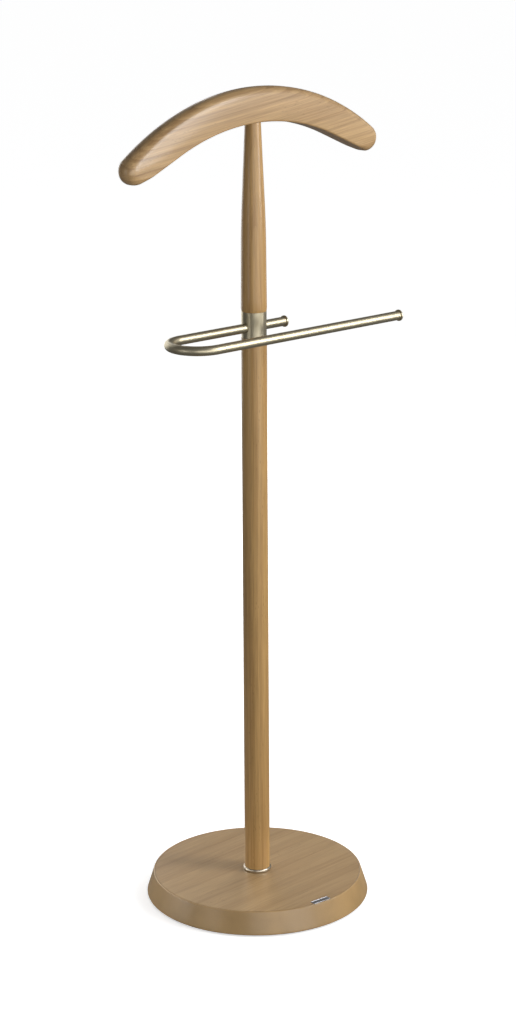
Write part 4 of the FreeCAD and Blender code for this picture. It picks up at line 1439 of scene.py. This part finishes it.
class VALET_OT_sleeve(bpy.types.Operator):
    """Build the metal sleeve between the posts"""
    bl_idname = "valet.sleeve"
    bl_label = "Sleeve"

    def execute(self, context):
        make_sleeve()
        return {"FINISHED"}


class VALET_OT_rail(bpy.types.Operator):
    """Build the bent tube of the trouser rail"""
    bl_idname = "valet.rail"
    bl_label = "Trouser rail"

    def execute(self, context):
        make_rail()
        return {"FINISHED"}


class VALET_OT_rail_caps(bpy.types.Operator):
    """Build the caps of the trouser rail"""
    bl_idname = "valet.rail_caps"
    bl_label = "Rail caps"

    def execute(self, context):
        make_rail_caps()
        return {"FINISHED"}


class VALET_OT_foot_ring(bpy.types.Operator):
    """Build the ring round the foot of the post"""
    bl_idname = "valet.foot_ring"
    bl_label = "Foot ring"

    def execute(self, context):
        make_foot_ring()
        return {"FINISHED"}


class VALET_OT_base(bpy.types.Operator):
    """Build the board and its veneer"""
    bl_idname = "valet.base"
    bl_label = "Base"

    def execute(self, context):
        make_base()
        return {"FINISHED"}


class VALET_OT_badge(bpy.types.Operator):
    """Build the blank badge plate"""
    bl_idname = "valet.badge"
    bl_label = "Badge"

    def execute(self, context):
        make_badge()
        return {"FINISHED"}


class VALET_OT_felt_pads(bpy.types.Operator):
    """Build the felt pads"""
    bl_idname = "valet.felt_pads"
    bl_label = "Felt pads"

    def execute(self, context):
        make_felt_pads()
        return {"FINISHED"}


class VALET_OT_ballast(bpy.types.Operator):
    """Build the ballast plate and its screws"""
    bl_idname = "valet.ballast"
    bl_label = "Ballast"

    def execute(self, context):
        make_ballast()
        return {"FINISHED"}


class VALET_OT_base_bolt(bpy.types.Operator):
    """Build the bolt that holds the post, and its washer"""
    bl_idname = "valet.base_bolt"
    bl_label = "Base bolt"

    def execute(self, context):
        make_base_bolt()
        return {"FINISHED"}


class VALET_OT_hidden_pieces(bpy.types.Operator):
    """Paint the pieces inside the stand"""
    bl_idname = "valet.hidden_pieces"
    bl_label = "Hidden pieces"

    def execute(self, context):
        paint_hidden_pieces()
        return {"FINISHED"}


OPERATORS = (
    VALET_OT_stage,
    VALET_OT_hanger,
    VALET_OT_posts,
    VALET_OT_sleeve,
    VALET_OT_rail,
    VALET_OT_rail_caps,
    VALET_OT_foot_ring,
    VALET_OT_base,
    VALET_OT_badge,
    VALET_OT_felt_pads,
    VALET_OT_ballast,
    VALET_OT_base_bolt,
    VALET_OT_hidden_pieces,
)


class VALET_PT_panel(bpy.types.Panel):
    """Lists the stand's operators and its properties."""
    bl_label = "Valet Stand"
    bl_idname = "VALET_PT_panel"
    bl_space_type = "VIEW_3D"
    bl_region_type = "UI"
    bl_category = "Valet Stand"

    def draw(self, context):
        column = self.layout.column(align=True)
        for operator in OPERATORS:
            column.operator(operator.bl_idname)


GROUPS = {
    "valet_hanger": ValetHangerSizes,
    "valet_posts": ValetPostSizes,
    "valet_rail": ValetRailSizes,
    "valet_base": ValetBaseSizes,
    "valet_badge": ValetBadgeSizes,
    "valet_colours": ValetColours,
    "valet_stage": ValetStage,
}


def register():
    """Register the classes and hang the property groups on the scene."""
    for group in GROUPS.values():
        bpy.utils.register_class(group)
    for operator in OPERATORS:
        bpy.utils.register_class(operator)
    bpy.utils.register_class(VALET_PT_panel)
    for name, group in GROUPS.items():
        setattr(bpy.types.Scene, name, PointerProperty(type=group))


def unregister():
    """Take the properties and classes away again."""
    for name in GROUPS:
        delattr(bpy.types.Scene, name)
    bpy.utils.unregister_class(VALET_PT_panel)
    for operator in reversed(OPERATORS):
        bpy.utils.unregister_class(operator)
    for group in reversed(list(GROUPS.values())):
        bpy.utils.unregister_class(group)


def main():
    """Build everything in order."""
    register()
    for operator in OPERATORS:
        getattr(bpy.ops.valet, operator.bl_idname.split(".")[1])()


if __name__ == "__main__":
    main()
